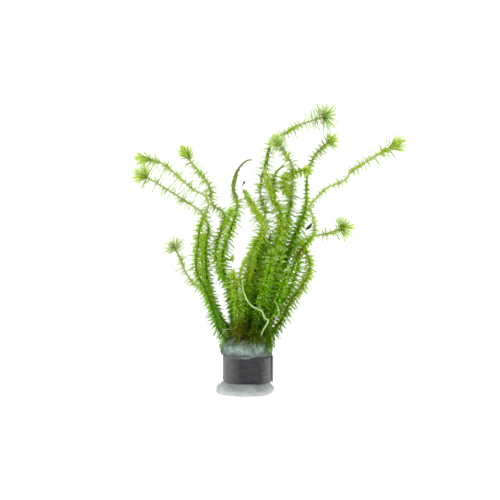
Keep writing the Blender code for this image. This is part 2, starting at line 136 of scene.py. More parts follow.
wool_rings = [[wool_point(r, z, 2 * math.pi * i / WOOL_TURNS) for i in range(WOOL_TURNS)]
              for r, z in smooth_line(WOOL_OUTLINE, WOOL_STEP)]
wool_body = ring_skin("wool_body", wool_rings, (0, 0, 0), (0, 0, WOOL_TOP * MM))


def operators(operation):
    """Both forms of a Python operator, each of which adds the Math node of an operation."""
    return (lambda value, other: value.nodes.math(operation, value, other),
            lambda value, other: value.nodes.math(operation, other, value))


class Value:
    """A node's output that Python arithmetic works on."""

    def __init__(self, nodes, socket):
        self.nodes, self.socket = nodes, socket

    def also(self, name):
        """Another output of the same node."""
        return Value(self.nodes, self.socket.node.outputs[name])

    __add__, __radd__ = operators("ADD")
    __sub__, __rsub__ = operators("SUBTRACT")
    __mul__, __rmul__ = operators("MULTIPLY")
    __truediv__, __rtruediv__ = operators("DIVIDE")
    __pow__, __rpow__ = operators("POWER")


class Nodes:
    """A node tree that is filled one node at a time."""

    def __init__(self, tree):
        self.tree = tree
        tree.nodes.clear()

    def add(self, kind, settings=None, sockets=None, out=0):
        """Add a node: its settings first, then a value or a link for each socket."""
        made = self.tree.nodes.new(kind)
        for key, setting in (settings or {}).items():
            setattr(made, key, setting)
        for key, given in (sockets or {}).items():
            if isinstance(given, Value):
                self.tree.links.new(given.socket, made.inputs[key])
            else:
                made.inputs[key].default_value = given
        return Value(self, made.outputs[out]) if made.outputs else None

    def math(self, operation, *terms):
        """A step of arithmetic on values or numbers."""
        return self.add("ShaderNodeMath", {"operation": operation}, dict(enumerate(terms)))

    def vector(self, operation, *terms, **sockets):
        """A step of vector arithmetic."""
        return self.add("ShaderNodeVectorMath", {"operation": operation},
                        {**dict(enumerate(terms)), **sockets})

    def scaled(self, vector, size):
        """A vector made longer or shorter."""
        return self.vector("SCALE", vector, Scale=size)

    def axis(self, vector, name):
        """One coordinate of a vector."""
        return self.add("ShaderNodeSeparateXYZ", {}, {0: vector}, out=name)

    def ramp(self, value, low, high):
        """0 below low, 1 above high and straight between them."""
        return self.add("ShaderNodeMapRange", {"clamp": True}, {0: value, 1: low, 2: high})

    def noise(self, vector, scale, detail=3.0, roughness=0.5):
        """Noise from 0 to 1 that grows finer with its scale."""
        return self.add("ShaderNodeTexNoise", {}, {
            "Vector": vector, "Scale": scale, "Detail": detail, "Roughness": roughness})

    def mix(self, share, first, second):
        """One colour turning into another by a share."""
        first, second = ((*colour, 1.0) if isinstance(colour, tuple) else colour
                         for colour in (first, second))
        return self.add("ShaderNodeMix", {"data_type": "RGBA", "clamp_factor": True},
                        {0: share, 6: first, 7: second}, out=2)

    def place(self):
        """Where the surface lies."""
        return self.add("ShaderNodeTexCoord", out="Object")

    def mark(self, name):
        """What the mesh carries under a name."""
        return self.add("ShaderNodeAttribute", {"attribute_name": name}, out="Fac")

    def relief(self, strength, depth, height):
        """Small unevenness of the surface."""
        return self.add("ShaderNodeBump", {}, {"Strength": strength, "Distance": depth, "Height": height})


def finish(name, **steady):
    """A material with its tree and its Principled shader, whose steady values are set on it."""
    material = bpy.data.materials.new(name)
    material.use_nodes = True
    nodes = Nodes(material.node_tree)
    shader = nodes.add("ShaderNodeBsdfPrincipled", {}, {
        key.replace("_", " "): value for key, value in steady.items()})
    nodes.add("ShaderNodeOutputMaterial", {}, {"Surface": shader})
    return material, nodes, shader.socket.node


def feed(nodes, shader, **sockets):
    """Link values to the shader's sockets."""
    for key, value in sockets.items():
        nodes.tree.links.new(value.socket, shader.inputs[key.replace("_", " ")])


# The wool's colours, in its hollows and on its strands.
SKIRT_WOOL = ((0.30, 0.345, 0.335), (0.66, 0.71, 0.70))
COLLAR_WOOL = ((0.13, 0.175, 0.16), (0.64, 0.76, 0.72))
# Above the lip the wool is wetter and greener, and its pale strands are brighter as a painted highlight on
# the collar's bulge.
WET_AND_HIGHLIT_WOOL = ((0.105, 0.185, 0.135), (0.78, 0.94, 0.86))
# On top the wool is greener and darker: partly its own green tint, partly painted shade of the leaves.
GREEN_LEAF_SHADED_WOOL = ((0.074, 0.103, 0.034), (0.25, 0.32, 0.17))
# And painted shade where the strip shades it and in a band under the collar's fold just above the strip, and
# paler colours at its foot and edges.
SHADED_WOOL, FOLD_SHADOW_WOOL = (0.20, 0.25, 0.24), (0.050, 0.075, 0.065)
PALE_FOOT_WOOL, EDGE_WOOL = (0.94, 0.95, 0.95), (0.78, 0.80, 0.82)


def wool_finish():
    """Grey-green wool: pale strands over darker hollows, greener and darker under the leaves, partly as
    their painted shade, with a painted highlight on the collar's bulge and painted shade under its fold.

    Heights and widths in it are in metres, from the middle of the wad's flat bottom.
    """
    material, nodes, shader = finish("grey_wool", Roughness=0.92, Sheen_Weight=0.25,
                                     Subsurface_Weight=0.15, Subsurface_Scale=0.002)
    place = nodes.place()
    height, across = nodes.axis(place, "Z"), nodes.axis(place, "X")
    lie = nodes.add("ShaderNodeMapping", {}, {"Vector": place, "Scale": (1.0, 1.0, 3.2)})
    strands = nodes.noise(lie, 900, 5.0, 0.7)
    clumps = nodes.noise(place, 260, 3.0)
    patches = nodes.noise(place, 190, 3.0, 0.6)
    pale = nodes.ramp(strands * 0.55 + clumps * 0.75 + nodes.mark("luck") * 0.35, 0.52, 0.98)
    above = nodes.ramp(height, 0.0185, 0.0195)
    # Painted highlight: above the lip the collar's pale strands are brighter, on wetter, greener wool.
    wet_and_highlit = nodes.ramp(height + (patches - 0.5) * 0.010, 0.0205, 0.0225)
    dark, light = (nodes.mix(wet_and_highlit, nodes.mix(above, skirt, collar), highlit_tone)
                   for skirt, collar, highlit_tone in zip(SKIRT_WOOL, COLLAR_WOOL, WET_AND_HIGHLIT_WOOL))
    colour = nodes.mix(pale, dark, light)
    # Greener and darker on top: partly the wool's own green tint, partly painted shade of the leaves above
    # it.
    green = nodes.ramp(height + (patches - 0.5) * 0.007, 0.0236, 0.0256)
    colour = nodes.mix(green * 0.9, colour, nodes.mix(pale, *GREEN_LEAF_SHADED_WOOL))
    shade = nodes.ramp(height, 0.0030, 0.0062) * (1 - above)
    colour = nodes.mix(shade * 0.70, colour, SHADED_WOOL)
    # Painted shade: a dark band under the collar's fold just above the strip, darker on the left.
    fold_shadow = (1 - nodes.ramp(height + (patches - 0.5) * 0.003, 0.0200, 0.0222)) * above
    fold_shadow = fold_shadow * (1.0 - nodes.ramp(across, -0.005, 0.003) * 0.5)
    colour = nodes.mix(fold_shadow, colour, FOLD_SHADOW_WOOL)
    # The wool fades to near white at its foot.
    faded = 1 - nodes.ramp(height + (clumps - 0.5) * 0.003, 0.0002, 0.0032)
    colour = nodes.mix(faded * 0.75, colour, PALE_FOOT_WOOL)
    edge = nodes.ramp(nodes.math("ABSOLUTE", across), 0.0085, 0.0130) * (1 - above)
    colour = nodes.mix(edge * 0.5, colour, EDGE_WOOL)
    feed(nodes, shader, Base_Color=colour, Normal=nodes.relief(0.9, 0.0006, strands + clumps * 0.6))
    return material


# Fibres on the wad: each a hair that hugs the surface and lifts at its end.
FIBRE_SPREAD = 900000.0          # fibres on a square metre
FIBRE_LENGTH = (2.2 * MM, 5.2 * MM)
FIBRE_RADIUS = 0.055 * MM
UP = (0.0, 0.0, 1.0)
FLOOR_GAP = 0.00005              # fibres stay this far above the floor


def hair_mesh():
    """One fibre, 1 long along +X, drawn thinner to its end, with a round section of 1."""
    rings = []
    for t in np.linspace(0, 1, 7):
        thick = 1.0 - 0.6 * t
        rings.append([(t, thick * math.cos(a), thick * math.sin(a)) for a in (0, 2.1, 4.2)])
    return ring_skin("hair", rings)


def mark_length(piece):
    """Note on each point how far along the unit piece it lies."""
    mark = piece.data.attributes.new("blade", "FLOAT", "POINT")
    for point in piece.data.vertices:
        mark.data[point.index].value = clamped(point.co.x)


class Growth(Nodes):
    """The nodes of a geometry tree with a geometry input, named inputs and a geometry output."""

    def __init__(self, name, inputs):
        super().__init__(bpy.data.node_groups.new(name, "GeometryNodeTree"))
        face = self.tree.interface
        face.new_socket("Geometry", in_out="INPUT", socket_type="NodeSocketGeometry")
        face.new_socket("Geometry", in_out="OUTPUT", socket_type="NodeSocketGeometry")
        for label, (kind, value) in inputs.items():
            socket = face.new_socket(label, in_out="INPUT", socket_type="NodeSocket" + kind)
            if value is not None:
                socket.default_value = value
        given = self.add("NodeGroupInput")
        self.given = {label: given.also(label) for label in ("Geometry", *inputs)}

    def chance(self, low, high, seed):
        """A number for each point or instance between two limits."""
        return self.add("FunctionNodeRandomValue", {"data_type": "FLOAT"},
                        {2: low, 3: high, "Seed": seed}, out=1)

    def more(self, first, second):
        """Whether the first value is above the second."""
        return self.add("FunctionNodeCompare", {"data_type": "FLOAT", "operation": "GREATER_THAN"},
                        {0: first, 1: second})

    def store(self, geometry, name, value, kind="FLOAT", domain="POINT"):
        """Keep a value under a name on each point or instance."""
        return self.add("GeometryNodeStoreNamedAttribute", {"data_type": kind, "domain": domain},
                        {"Geometry": geometry, "Name": name, "Value": value})

    def kept(self, name, kind="FLOAT"):
        """The value that was kept under a name."""
        return self.add("GeometryNodeInputNamedAttribute", {"data_type": kind}, {"Name": name})

    def way(self, name):
        """The vector that was kept under a name."""
        return self.kept(name, "FLOAT_VECTOR")

    def turned(self, ahead, face):
        """The rotation that lays +X along one direction and +Z near another."""
        return self.add("FunctionNodeAxesToRotation", {"primary_axis": "X", "secondary_axis": "Z"},
                        {0: ahead, 1: face})

    def placed(self, points, piece, turned, length, thickness, **sockets):
        """A stretched copy of a unit piece on each point."""
        shape = self.add("GeometryNodeObjectInfo", {}, {"Object": piece}, out="Geometry")
        size = self.add("ShaderNodeCombineXYZ", {}, {0: length, 1: thickness, 2: thickness})
        return self.add("GeometryNodeInstanceOnPoints", {}, {
            "Points": points, "Instance": shape, "Rotation": turned, "Scale": size, **sockets})

    def real(self, geometry):
        """Instances turned into mesh."""
        return self.add("GeometryNodeRealizeInstances", {}, {0: geometry})

    def moved(self, geometry, *shifts):
        """Points shifted by the sum of some vectors."""
        shift = shifts[0]
        for another in shifts[1:]:
            shift = self.vector("ADD", shift, another)
        return self.add("GeometryNodeSetPosition", {}, {"Geometry": geometry, "Offset": shift})

    def joined(self, *shapes):
        """Several shapes as one."""
        joined = self.add("GeometryNodeJoinGeometry")
        for shape in shapes:
            self.tree.links.new(shape.socket, joined.socket.node.inputs[0])
        return joined

    def close(self, geometry):
        """End the tree: plain mesh in its material."""
        painted = self.add("GeometryNodeSetMaterial", {}, {
            0: self.real(geometry), "Material": self.given["Material"]})
        self.add("NodeGroupOutput", {}, {0: painted})
        return self.tree


def grown(name, base, tree, values):
    """The plain mesh that a geometry tree grows on a base object, which is used up."""
    modifier = base.modifiers.new("grow", "NODES")
    modifier.node_group = tree
    for item in tree.interface.items_tree:
        if item.in_out == "INPUT" and item.name in values:
            modifier[item.identifier] = values[item.name]
    bpy.context.view_layer.update()
    result = base.evaluated_get(bpy.context.evaluated_depsgraph_get())
    mesh = bpy.data.meshes.new_from_object(result)
    mesh.name = name
    base.modifiers.remove(modifier)
    bpy.data.objects.remove(base, do_unlink=True)
    return linked(name, mesh)


def fibre_tree():
    """The tree that lays fibres on the wad above and below the strip and joins them to it."""
    nodes = Growth("wool_fibres", {
        "Fibre": ("Object", None), "Fibre Spread": ("Float", FIBRE_SPREAD),
        "Shortest": ("Float", FIBRE_LENGTH[0]), "Longest": ("Float", FIBRE_LENGTH[1]),
        "Thickness": ("Float", FIBRE_RADIUS), "Material": ("Material", None)})
    given, chance, kept, way = nodes.given, nodes.chance, nodes.kept, nodes.way
    where = nodes.add("GeometryNodeInputPosition")
    height = nodes.axis(where, "Z")
    free = (nodes.ramp(height, 0.0185, 0.0200) + (1 - nodes.ramp(height, 0.0050, 0.0066))
            - (1 - nodes.ramp(height, 0.0, 0.0005)) * 2)
    spots = nodes.add("GeometryNodeDistributePointsOnFaces", {}, {
        "Mesh": given["Geometry"], "Selection": nodes.more(free, 0.5),
        "Density": given["Fibre Spread"], "Seed": 4})
    upright = spots.also("Normal")
    flat = nodes.vector("CROSS_PRODUCT", UP, upright)
    rise = nodes.vector("CROSS_PRODUCT", upright, flat)
    lie = nodes.vector("ADD", flat, nodes.scaled(rise, chance(-1.0, 1.0, 11) * 1.1))
    lift = chance(0.02, 0.30, 12) + (1 - nodes.ramp(height, 0.0030, 0.0055)) * chance(0.0, 0.5, 16)
    lie = nodes.vector("ADD", nodes.vector("NORMALIZE", lie), nodes.scaled(upright, lift))
    length = chance(given["Shortest"], given["Longest"], 13)
    laid = nodes.placed(spots, given["Fibre"], nodes.turned(lie, upright), length, given["Thickness"])
    for name, value, kind in (("off", upright, "FLOAT_VECTOR"), ("span", length, "FLOAT"),
                              ("sway", chance(-0.35, 0.35, 14), "FLOAT"), ("lie", lie, "FLOAT_VECTOR"),
                              ("luck", chance(-0.3, 1.0, 15), "FLOAT")):
        laid = nodes.store(laid, name, value, kind, "INSTANCE")
    laid = nodes.real(laid)
    blade = kept("blade")
    bend = blade * blade * kept("span")
    side = nodes.vector("CROSS_PRODUCT", way("off"), way("lie"))
    laid = nodes.moved(laid, nodes.scaled(way("off"), bend * -0.30),
                       nodes.scaled(side, bend * kept("sway")))
    laid = nodes.add("GeometryNodeSetPosition", {}, {
        "Geometry": laid, "Position": nodes.vector("MAXIMUM", where, (-1.0, -1.0, FLOOR_GAP))})
    return nodes.close(nodes.joined(given["Geometry"], laid))


fibre = hair_mesh()
mark_length(fibre)
wool = grown("wool_wad", wool_body, fibre_tree(), {"Fibre": fibre, "Material": wool_finish()})
bpy.data.objects.remove(fibre, do_unlink=True)
wool.data.shade_smooth()
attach(wool, "root")
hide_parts("wool_plug")

# Lead strip.
# One strip of soft grey lead, half an inch wide, cut with shears and wound once round the wool by hand,
# its end lapped over its start on the right. It is dull, and dented where fingers pressed it.

STRIP_WIDTH, STRIP_THICK, STRIP_BOTTOM = 12.8, 0.9, 6.3
STRIP_RADIUS = 11.95
LAP_FROM, LAP_TO = -8.0, 22.0    # degrees from +X, counter-clockwise seen from above
LAP_OUTER, LAP_INNER = 0.45, 0.55              # how far the layers of the lap part, in mm
OUTER_EASE, INNER_EASE, FLARE_EASE = 50.0, 40.0, 30.0    # degrees over which each comes to nothing
RIDGE_PLACE, RIDGE_WIDTH = 0.13, 0.09          # the crumpled ridge, as shares of the strip's width
STRIP_STEPS = 260                # sections along the strip
END_PINCH = (0.45, 0.85, 0.97)   # share of the thickness in the first and last sections
# The paler lead is partly scuffed, partly painted light on the strip's sides.
DARK_LEAD, RUBBED_AND_LIT_LEAD, PITTED_LEAD = (0.016, 0.015, 0.019), (0.145, 0.139, 0.143), (0.03, 0.028, 0.03)
CUT_LEAD = ((0.34, 0.33, 0.34), (0.62, 0.61, 0.62))


def strip_point(along, across, face):
    """A point of the strip: degrees from its lapping end, share of its width, and -1 in or 1 out."""
    lap = LAP_TO - LAP_FROM
    outer = clamped(1 - (along - lap) / OUTER_EASE)
    inner = clamped(1 - (360 - along) / INNER_EASE)
    angle = math.radians(LAP_FROM + along)
    flare = 0.15 * clamped(1 - along / FLARE_EASE)
    spot = Vector((math.cos(angle) * 12, math.sin(angle) * 12, across * STRIP_WIDTH))
    dents = 0.10 * noise.fractal(spot * 0.28, 1.0, 2.0, 3)
    ridge = 0.10 * math.exp(-((across - RIDGE_PLACE) / RIDGE_WIDTH) ** 2)
    crumple = ridge * noise.noise(Vector((angle * 2.1, across * 16, 2)))
    radius = STRIP_RADIUS + LAP_OUTER * outer ** 1.5 - LAP_INNER * inner ** 1.5
    r = radius + face * STRIP_THICK / 2 + flare * across + dents + crumple * 2.2
    sway = 0.5 * math.cos(angle - 2.97) + 0.10 * noise.noise(spot * 0.2)
    ragged = 0.07 * noise.noise(Vector((angle * 9, across * 3, 5))) * abs(2 * across - 1) ** 8
    height = STRIP_BOTTOM + STRIP_WIDTH * across + sway + ragged
    return (r * MM * math.cos(angle), r * MM * math.sin(angle), height * MM)


def strip_rings():
    """Cross-sections of the strip with rounded cut edges, from one end to the other."""
    section = [(across, 1) for across in np.linspace(0.025, 0.975, 34)]
    section += [(0.995, 0.75), (1.0, 0.0), (0.995, -0.75)]
    section += [(across, -1) for across in np.linspace(0.975, 0.025, 12)]
    section += [(0.005, -0.75), (0.0, 0.0), (0.005, 0.75)]
    rings = []
    for i in range(STRIP_STEPS + 1):
        end = min(i, STRIP_STEPS - i)
        pinch = END_PINCH[end] if end < len(END_PINCH) else 1.0
        along = (360 + LAP_TO - LAP_FROM) * i / STRIP_STEPS
        rings.append([strip_point(along, across, face * pinch) for across, face in section])
    return rings


def lead_finish():
    """Dull lead: a grey skin with paler scuffed places, smears along the strip and soft dents, and painted
    light that makes its left and right sides paler.
    """
    material, nodes, shader = finish("dull_lead", Specular_IOR_Level=0.5)
    place = nodes.place()
    drawn = nodes.add("ShaderNodeMapping", {}, {"Vector": place, "Scale": (1.0, 1.0, 4.0)})
    smears = nodes.noise(drawn, 180, 4.0, 0.6)
    bloom = nodes.noise(place, 420, 5.0, 0.65)
    pits = nodes.noise(place, 1900, 2.0)
    across = nodes.axis(place, "X") + (bloom - 0.5) * 0.003
    # Painted light and reflection: the strip is paler on its left and right sides, where the side lamps
    # catch it.
    side_light = (1 - nodes.ramp(across, -0.0115, -0.0035)) * 0.80 + nodes.ramp(across, 0.0065, 0.0105) * 0.75
    rubbed_and_side_lit = nodes.ramp(smears * 0.6 + bloom * 0.5, 0.46, 0.72) * 0.27 + side_light
    colour = nodes.mix(rubbed_and_side_lit, DARK_LEAD, RUBBED_AND_LIT_LEAD)
    colour = nodes.mix(nodes.ramp(pits, 0.62, 0.75) * 0.5, colour, PITTED_LEAD)
    feed(nodes, shader, Base_Color=colour, Roughness=0.62 - rubbed_and_side_lit * 0.16,
         Metallic=0.20 + rubbed_and_side_lit * 0.25, Normal=nodes.relief(0.55, 0.0003, bloom + pits * 0.35 + smears))
    return material


def cut_finish():
    """The lead's freshly cut ends, brighter than its skin and finely scored."""
    material, nodes, shader = finish("cut_lead", Metallic=0.5, Roughness=0.45)
    feed(nodes, shader, Base_Color=nodes.mix(nodes.noise(nodes.place(), 2400, 3.0), *CUT_LEAD))
    return material


strip = ring_skin("wound_lead", strip_rings())
strip.data.materials.append(lead_finish())
strip.data.materials.append(cut_finish())
for side in strip.data.polygons:
    side.use_smooth = len(side.vertices) == 4    # the two cut ends stay flat and bright
    side.material_index = 0 if side.use_smooth else 1
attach(strip, "root")
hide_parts("lead_strip")

# Leafy stems.
# Stream bogmoss: a soft green thread of a stem with needle leaves set in a close spiral all round it.
# The oldest leaves stand square and curl down, and the youngest crowd round the growing tip as a star.
# Each stem stands with its bare foot pushed into the wool, and a side shoot grows from its stem.

# Each stem's brightness, from below 0 for the dark ones at the back, partly painted shade, to over 1 for the
# palest, the height in mm up to which its leaves are broad and close, how far its tuft spreads, from a brush
# to a star, how full its leaves are, and the share of its shorter leaves that it keeps above that height.
# Then where it runs, foot first: x, y, z and the reach of its leaves there, in mm.
STEMS = {
    # the two long ones that arch out to the left
    "stem_01": (1.50, 90, 0.40, 1.00, 0.05, (
        (-9.5, -3, 19.2, 0.6), (-10.6, -3.2, 27.6, 4.6), (-14.6, -3.5, 33.4, 4.6), (-17.4, -4, 43.6, 4.7),
        (-20.6, -4, 52, 4.6), (-24.6, -4, 59, 4.4), (-25.6, -4, 66, 4.3), (-24.6, -4, 74.4, 4.2),
        (-23.8, -4.2, 82.8, 3.8), (-21.1, -5, 89.3, 3), (-19.3, -5, 94.7, 2.6),
        (-21.1, -5, 98.7, 2.6), (-26.5, -5, 101.7, 3), (-33, -4, 107.2, 3.2),
        (-40.5, -3, 113.7, 3.4), (-46.6, -2.2, 116.5, 4.2), (-50.4, -1.8, 117.0, 4.4),
    )),
    "stem_02": (1.50, 86, 0.85, 1.00, 0.12, (
        (-7.5, 3.5, 19.2, 0.6), (-7.5, 3.5, 29.2, 4.2), (-14.4, 4.4, 35.5, 4.2), (-18.4, 4.6, 45.5, 4.4),
        (-19.9, 5, 54.5, 4), (-20.9, 5, 63.6, 4), (-21.2, 5, 70.7, 4), (-20.7, 5, 76.7, 3.8),
        (-19.7, 4.6, 82.3, 3.4), (-21.4, 4, 88.3, 2.6), (-24.9, 4, 92.3, 2.6),
        (-29.5, 5, 95.1, 3), (-36.1, 6, 99.4, 3.4), (-44.3, 7, 104.5, 3.8),
        (-48.4, 7.8, 106.9, 4.2), (-52.4, 8.3, 109, 4.4),
    )),
    # the shorter one inside them, with its tip leaning left
    "stem_03": (1.40, 90, 0.45, 1.15, 0.15, (
        (-6, -0.3, 19.2, 0.6), (-6, -0.3, 29.2, 2.8), (-7.6, -0.5, 35.8, 2.6), (-8.6, -1, 45.3, 3.4),
        (-9.9, -1, 53.8, 3.8), (-13.4, -1, 60.8, 4), (-15.7, -1, 67.8, 4.2), (-15.4, 0, 74.8, 4.2),
        (-13.2, 0.5, 81.3, 4), (-11.3, 1, 87.4, 3), (-12.8, 2, 91.3, 2.4), (-16.8, 3, 93.4, 2.4),
        (-18.4, 4, 97, 2.8), (-18.4, 4.5, 101.9, 3.2), (-21.2, 5, 107, 3.4),
        (-25.4, 6, 112, 3.4), (-28.6, 6.8, 116.2, 3.6), (-30.9, 7.3, 119.8, 4.0),
    )),
    # the tall dark one with the hooked bare tip
    "stem_04": (0.50, 94, 0.50, 1.10, 0.80, (
        (-5, -5.5, 19.2, 0.6), (-5, -5.5, 29.2, 2.8), (-5.7, -6.5, 36.4, 3.4), (-6.2, -7.6, 45.3, 4.2),
        (-7.6, -8, 53.2, 4.2), (-11.1, -8, 59.7, 4.4), (-12.4, -8, 66.1, 4.6), (-11.6, -8, 73, 4.6),
        (-8.9, -8, 80.4, 4.6), (-6.2, -8, 88.3, 4.5), (-4.9, -8.5, 95.2, 3.4), (-7, -9, 102.1, 1.5),
        (-5.9, -9, 108, 1.2), (-3.8, -9, 112.8, 0.9), (-0.7, -9, 115.8, 0.36), (2.2, -9, 116.5, 0.3),
    )),
    # the bright one in front that leans left at its tip
    "stem_05": (0.90, 80, 0.45, 1.30, 1.00, (
        (-1.5, -7.5, 19.2, 0.6), (-1.5, -7.5, 29.2, 2.8), (-1.2, -8.6, 37.5, 3), (-0.7, -9.6, 47.4, 3.8),
        (-0.2, -10, 56.3, 4), (1.25, -10, 64.7, 4), (2.4, -10, 71.1, 4), (5.4, -9.2, 77.5, 4.3),
        (7.6, -8.4, 82.3, 4.3), (6.4, -8.2, 87.6, 4.1), (3.2, -8, 92.7, 3.7), (0.75, -8, 97, 3.0),
        (-1, -8, 100.4, 1.2),
    )),
    # the tallest, with the big tuft high on the right
    "stem_06": (0.80, 84, 1.35, 1.12, 0.30, (
        (-2, -1.5, 19.2, 0.6), (-2, -1.5, 29.2, 2.8), (-0.75, -1, 37.8, 3), (0.75, -1, 47.8, 4),
        (2.75, -1, 57.8, 4.2), (5.25, -1, 67.8, 4.2), (7.75, -0.5, 76.8, 4.2), (9, 0, 84.8, 4),
        (8.45, 0, 91.8, 4), (6.45, 0, 98.8, 3.8), (6.75, 0, 105.8, 3.6), (9, 1, 113.3, 3.4),
        (10.3, 2, 120.4, 3.2), (12.8, 2.2, 126.4, 3), (18.3, 3, 130, 3), (24.9, 3, 134, 3.6),
        (31.4, 3, 136.3, 4.2), (35.8, 3, 137.7, 4.6), (39.5, 3, 139.0, 5.0),
    )),
    # the thick one in the middle
    "stem_07": (0.50, 92, 0.45, 1.40, 1.00, (
        (1.5, -4, 19.2, 0.6), (1.5, -4, 29.2, 2.8), (2.2, -4.5, 39.2, 3), (4.7, -5, 49.1, 4),
        (7.7, -5, 59, 4.2), (11.2, -5, 68.5, 4.2), (14.6, -5, 77.4, 4.2), (16.8, -5, 85.4, 4.2),
        (15.9, -5, 91.8, 4.2), (12.9, -5, 97.2, 4), (10.7, -5, 103.7, 3.8), (9.4, -5, 109.6, 2.2),
    )),
    # right of the middle, its tip bent over to the left
    "stem_08": (0.70, 95, 0.80, 1.35, 0.35, (
        (4.5, 0.5, 19.2, 0.6), (4.5, 0.5, 29.2, 2.8), (4.9, 1, 38.8, 3), (7.25, 1.6, 48.8, 4),
        (10.3, 2, 58.8, 4.2), (13.8, 2.5, 68.8, 4.2), (17.3, 3, 78.3, 4.2), (20.1, 3, 87.3, 4.2),
        (21.3, 2.2, 95.8, 3.6), (22.2, 0, 103.3, 3), (22, -2, 109.2, 2.6), (21.9, -4, 114.4, 3),
        (18.8, -6, 119.5, 3.2), (15.2, -7.6, 124.6, 3.5),
    )),
    # the upright one on the right, behind
    "stem_09": (0.50, 108, 0.95, 1.60, 0.30, (
        (8, 3, 19.2, 0.6), (8, 3, 29.2, 4.2), (9.3, 4, 38.5, 3), (12.3, 5, 48, 4),
        (15.9, 6, 57.5, 4.2), (19.5, 7, 67.1, 4.2), (23, 8, 76.2, 4.2), (26.3, 8, 84.3, 4),
        (28.9, 8, 90.9, 3.6), (29.7, 8, 96.5, 2.3), (29.9, 8, 103.4, 1.9), (30.1, 8, 108, 1.2),
        (31.4, 8, 113.1, 2.0), (32.6, 8, 116.6, 1.6), (34.7, 8, 120.2, 2.3),
        (39.2, 7, 124.4, 2.9), (41.6, 7, 126.6, 3.6),
    )),
    # the longest, which loops out bare on the right and ends in the far tuft
    "stem_10": (1.25, 80, 0.40, 1.10, 0.35, (
        (7.5, -1.5, 19.2, 0.6), (7.5, -1.5, 29.2, 4.4), (9.7, -2.5, 37.9, 2.6), (13.2, -3, 46, 3.2),
        (17.2, -3.5, 53, 3), (21.1, -4, 59.5, 3.0), (23.8, -4, 65.9, 3.0), (25.6, -4.5, 70.4, 3.2),
        (29, -5, 75.1, 3.0), (32.5, -5, 78.9, 2.4), (33.5, -5, 83.7, 2.0), (32, -5, 89.5, 1.8),
        (30.9, -4.4, 93.5, 1.8), (34.5, -4, 98, 2), (39, -5, 102.5, 2), (44.3, -6, 104.8, 2),
        (48.8, -7, 107.1, 2), (51.6, -7, 111.3, 2.4), (57.5, -8, 114.9, 3.2),
        (65.3, -9, 119.6, 3.8), (69.2, -9.5, 121.6, 4.4), (71.9, -9.9, 123.1, 4.6),
    )),
    # the low one on the right edge
    "stem_11": (0.90, 200, 0.45, 1.25, 1.00, (
        (9.4, -4.5, 19.2, 0.6), (9.4, -4.5, 28.6, 5.4), (13.5, -4.2, 32.2, 4.6), (18.1, -4, 39.6, 4.5),
        (21.8, -4, 47.1, 4.6), (26.2, -3, 52.5, 4.6), (29.7, -2, 58.4, 4.4), (31.2, -1, 63.8, 4),
        (30.2, 0, 68.3, 3.8), (28.6, 1, 72.4, 3.4),
    )),
    # behind, leaning right, with a tuft that stands clear of the bunch
    "stem_12": (1.50, 74, 1.10, 1.10, 0.10, (
        (5.5, 6.5, 19.2, 0.6), (5.5, 6.5, 29.2, 4.2), (7.3, 9, 40.1, 3), (10.4, 11, 50.1, 4),
        (15, 13, 60.2, 4.2), (20.7, 15, 68.9, 4), (27.5, 17, 75.5, 3.2), (34.2, 18, 78.6, 2.4),
        (41.5, 19, 79.8, 3), (47, 20, 81.9, 4.2), (49.6, 20.4, 82.8, 4.4),
    )),
    # the shorter ones that fill the heart and the back of the bunch
    "stem_13": (-0.20, 200, 0.45, 1.40, 1.00, (
        (0.5, 3, 19.2, 0.6), (0.5, 3, 29.2, 4.2), (0.8, 4.6, 38, 3), (3.2, 6, 49, 4),
        (6.6, 7.2, 60, 4.2), (9.6, 8.2, 70.4, 4.2), (11.6, 8.9, 79, 4),
    )),
    "stem_14": (-0.20, 200, 0.45, 1.25, 1.00, (
        (-4, 4, 19.2, 0.6), (-4, 4, 29.2, 4.2), (-2.8, 7.4, 38, 3), (-1, 10, 48.6, 4),
        (0.8, 11.6, 58.8, 4.2), (3.4, 12.4, 68.4, 4.2), (6, 12.8, 77.4, 4),
    )),
    "stem_15": (-0.20, 200, 0.45, 1.50, 1.00, (
        (2, 7.5, 19.2, 0.6), (2, 7.5, 29.2, 4.2), (3.6, 11.6, 38, 3), (7.4, 15.4, 49.4, 4),
        (12, 17.6, 60, 4.2), (16, 19.6, 70.4, 4.2), (19, 21.6, 80, 4.2), (20.2, 23, 87, 4),
    )),
    "stem_16": (-0.20, 200, 0.45, 1.25, 1.00, (
        (-2, 8.5, 19.2, 0.6), (-2, 8.5, 28.6, 4.2), (-1.4, 13.6, 37, 3), (0.4, 18.4, 47, 4),
        (2.8, 22, 57, 4.2), (5.6, 24, 67.4, 4.2), (8.2, 24.6, 78, 4),
    )),
    "stem_17": (-0.20, 200, 0.45, 1.25, 1.00, (
        (8.5, 6, 19.2, 0.6), (8.5, 6, 28.6, 4.2), (12.4, 8.4, 35.4, 3), (17.2, 10, 44.4, 4),
        (22, 11, 52.8, 4.2), (25, 11.4, 61, 4.2), (26.4, 11, 67.6, 3.8),
    )),
    "stem_18": (1.20, 200, 0.45, 0.90, 1.00, (
        (-7, 7, 19.2, 0.6), (-7, 7, 28.6, 4.2), (-12.6, 10, 36, 3), (-18.4, 12.4, 46.4, 4),
        (-21.6, 13.8, 57, 4.2), (-23.2, 14.4, 67.6, 4.2), (-22.8, 14, 77, 4),
    )),
    "stem_19": (-0.25, 200, 0.45, 1.30, 1.00, (
        (2.5, -8.5, 19.2, 0.6), (2.5, -8.5, 28.6, 5.4), (4, -11, 35.6, 3), (6.4, -13, 45, 4),
        (8.8, -13.8, 54.4, 4.2), (10.8, -13.4, 63, 4.2), (12, -12.6, 70.4, 4),
    )),
    "stem_20": (-0.25, 200, 0.45, 1.30, 1.00, (
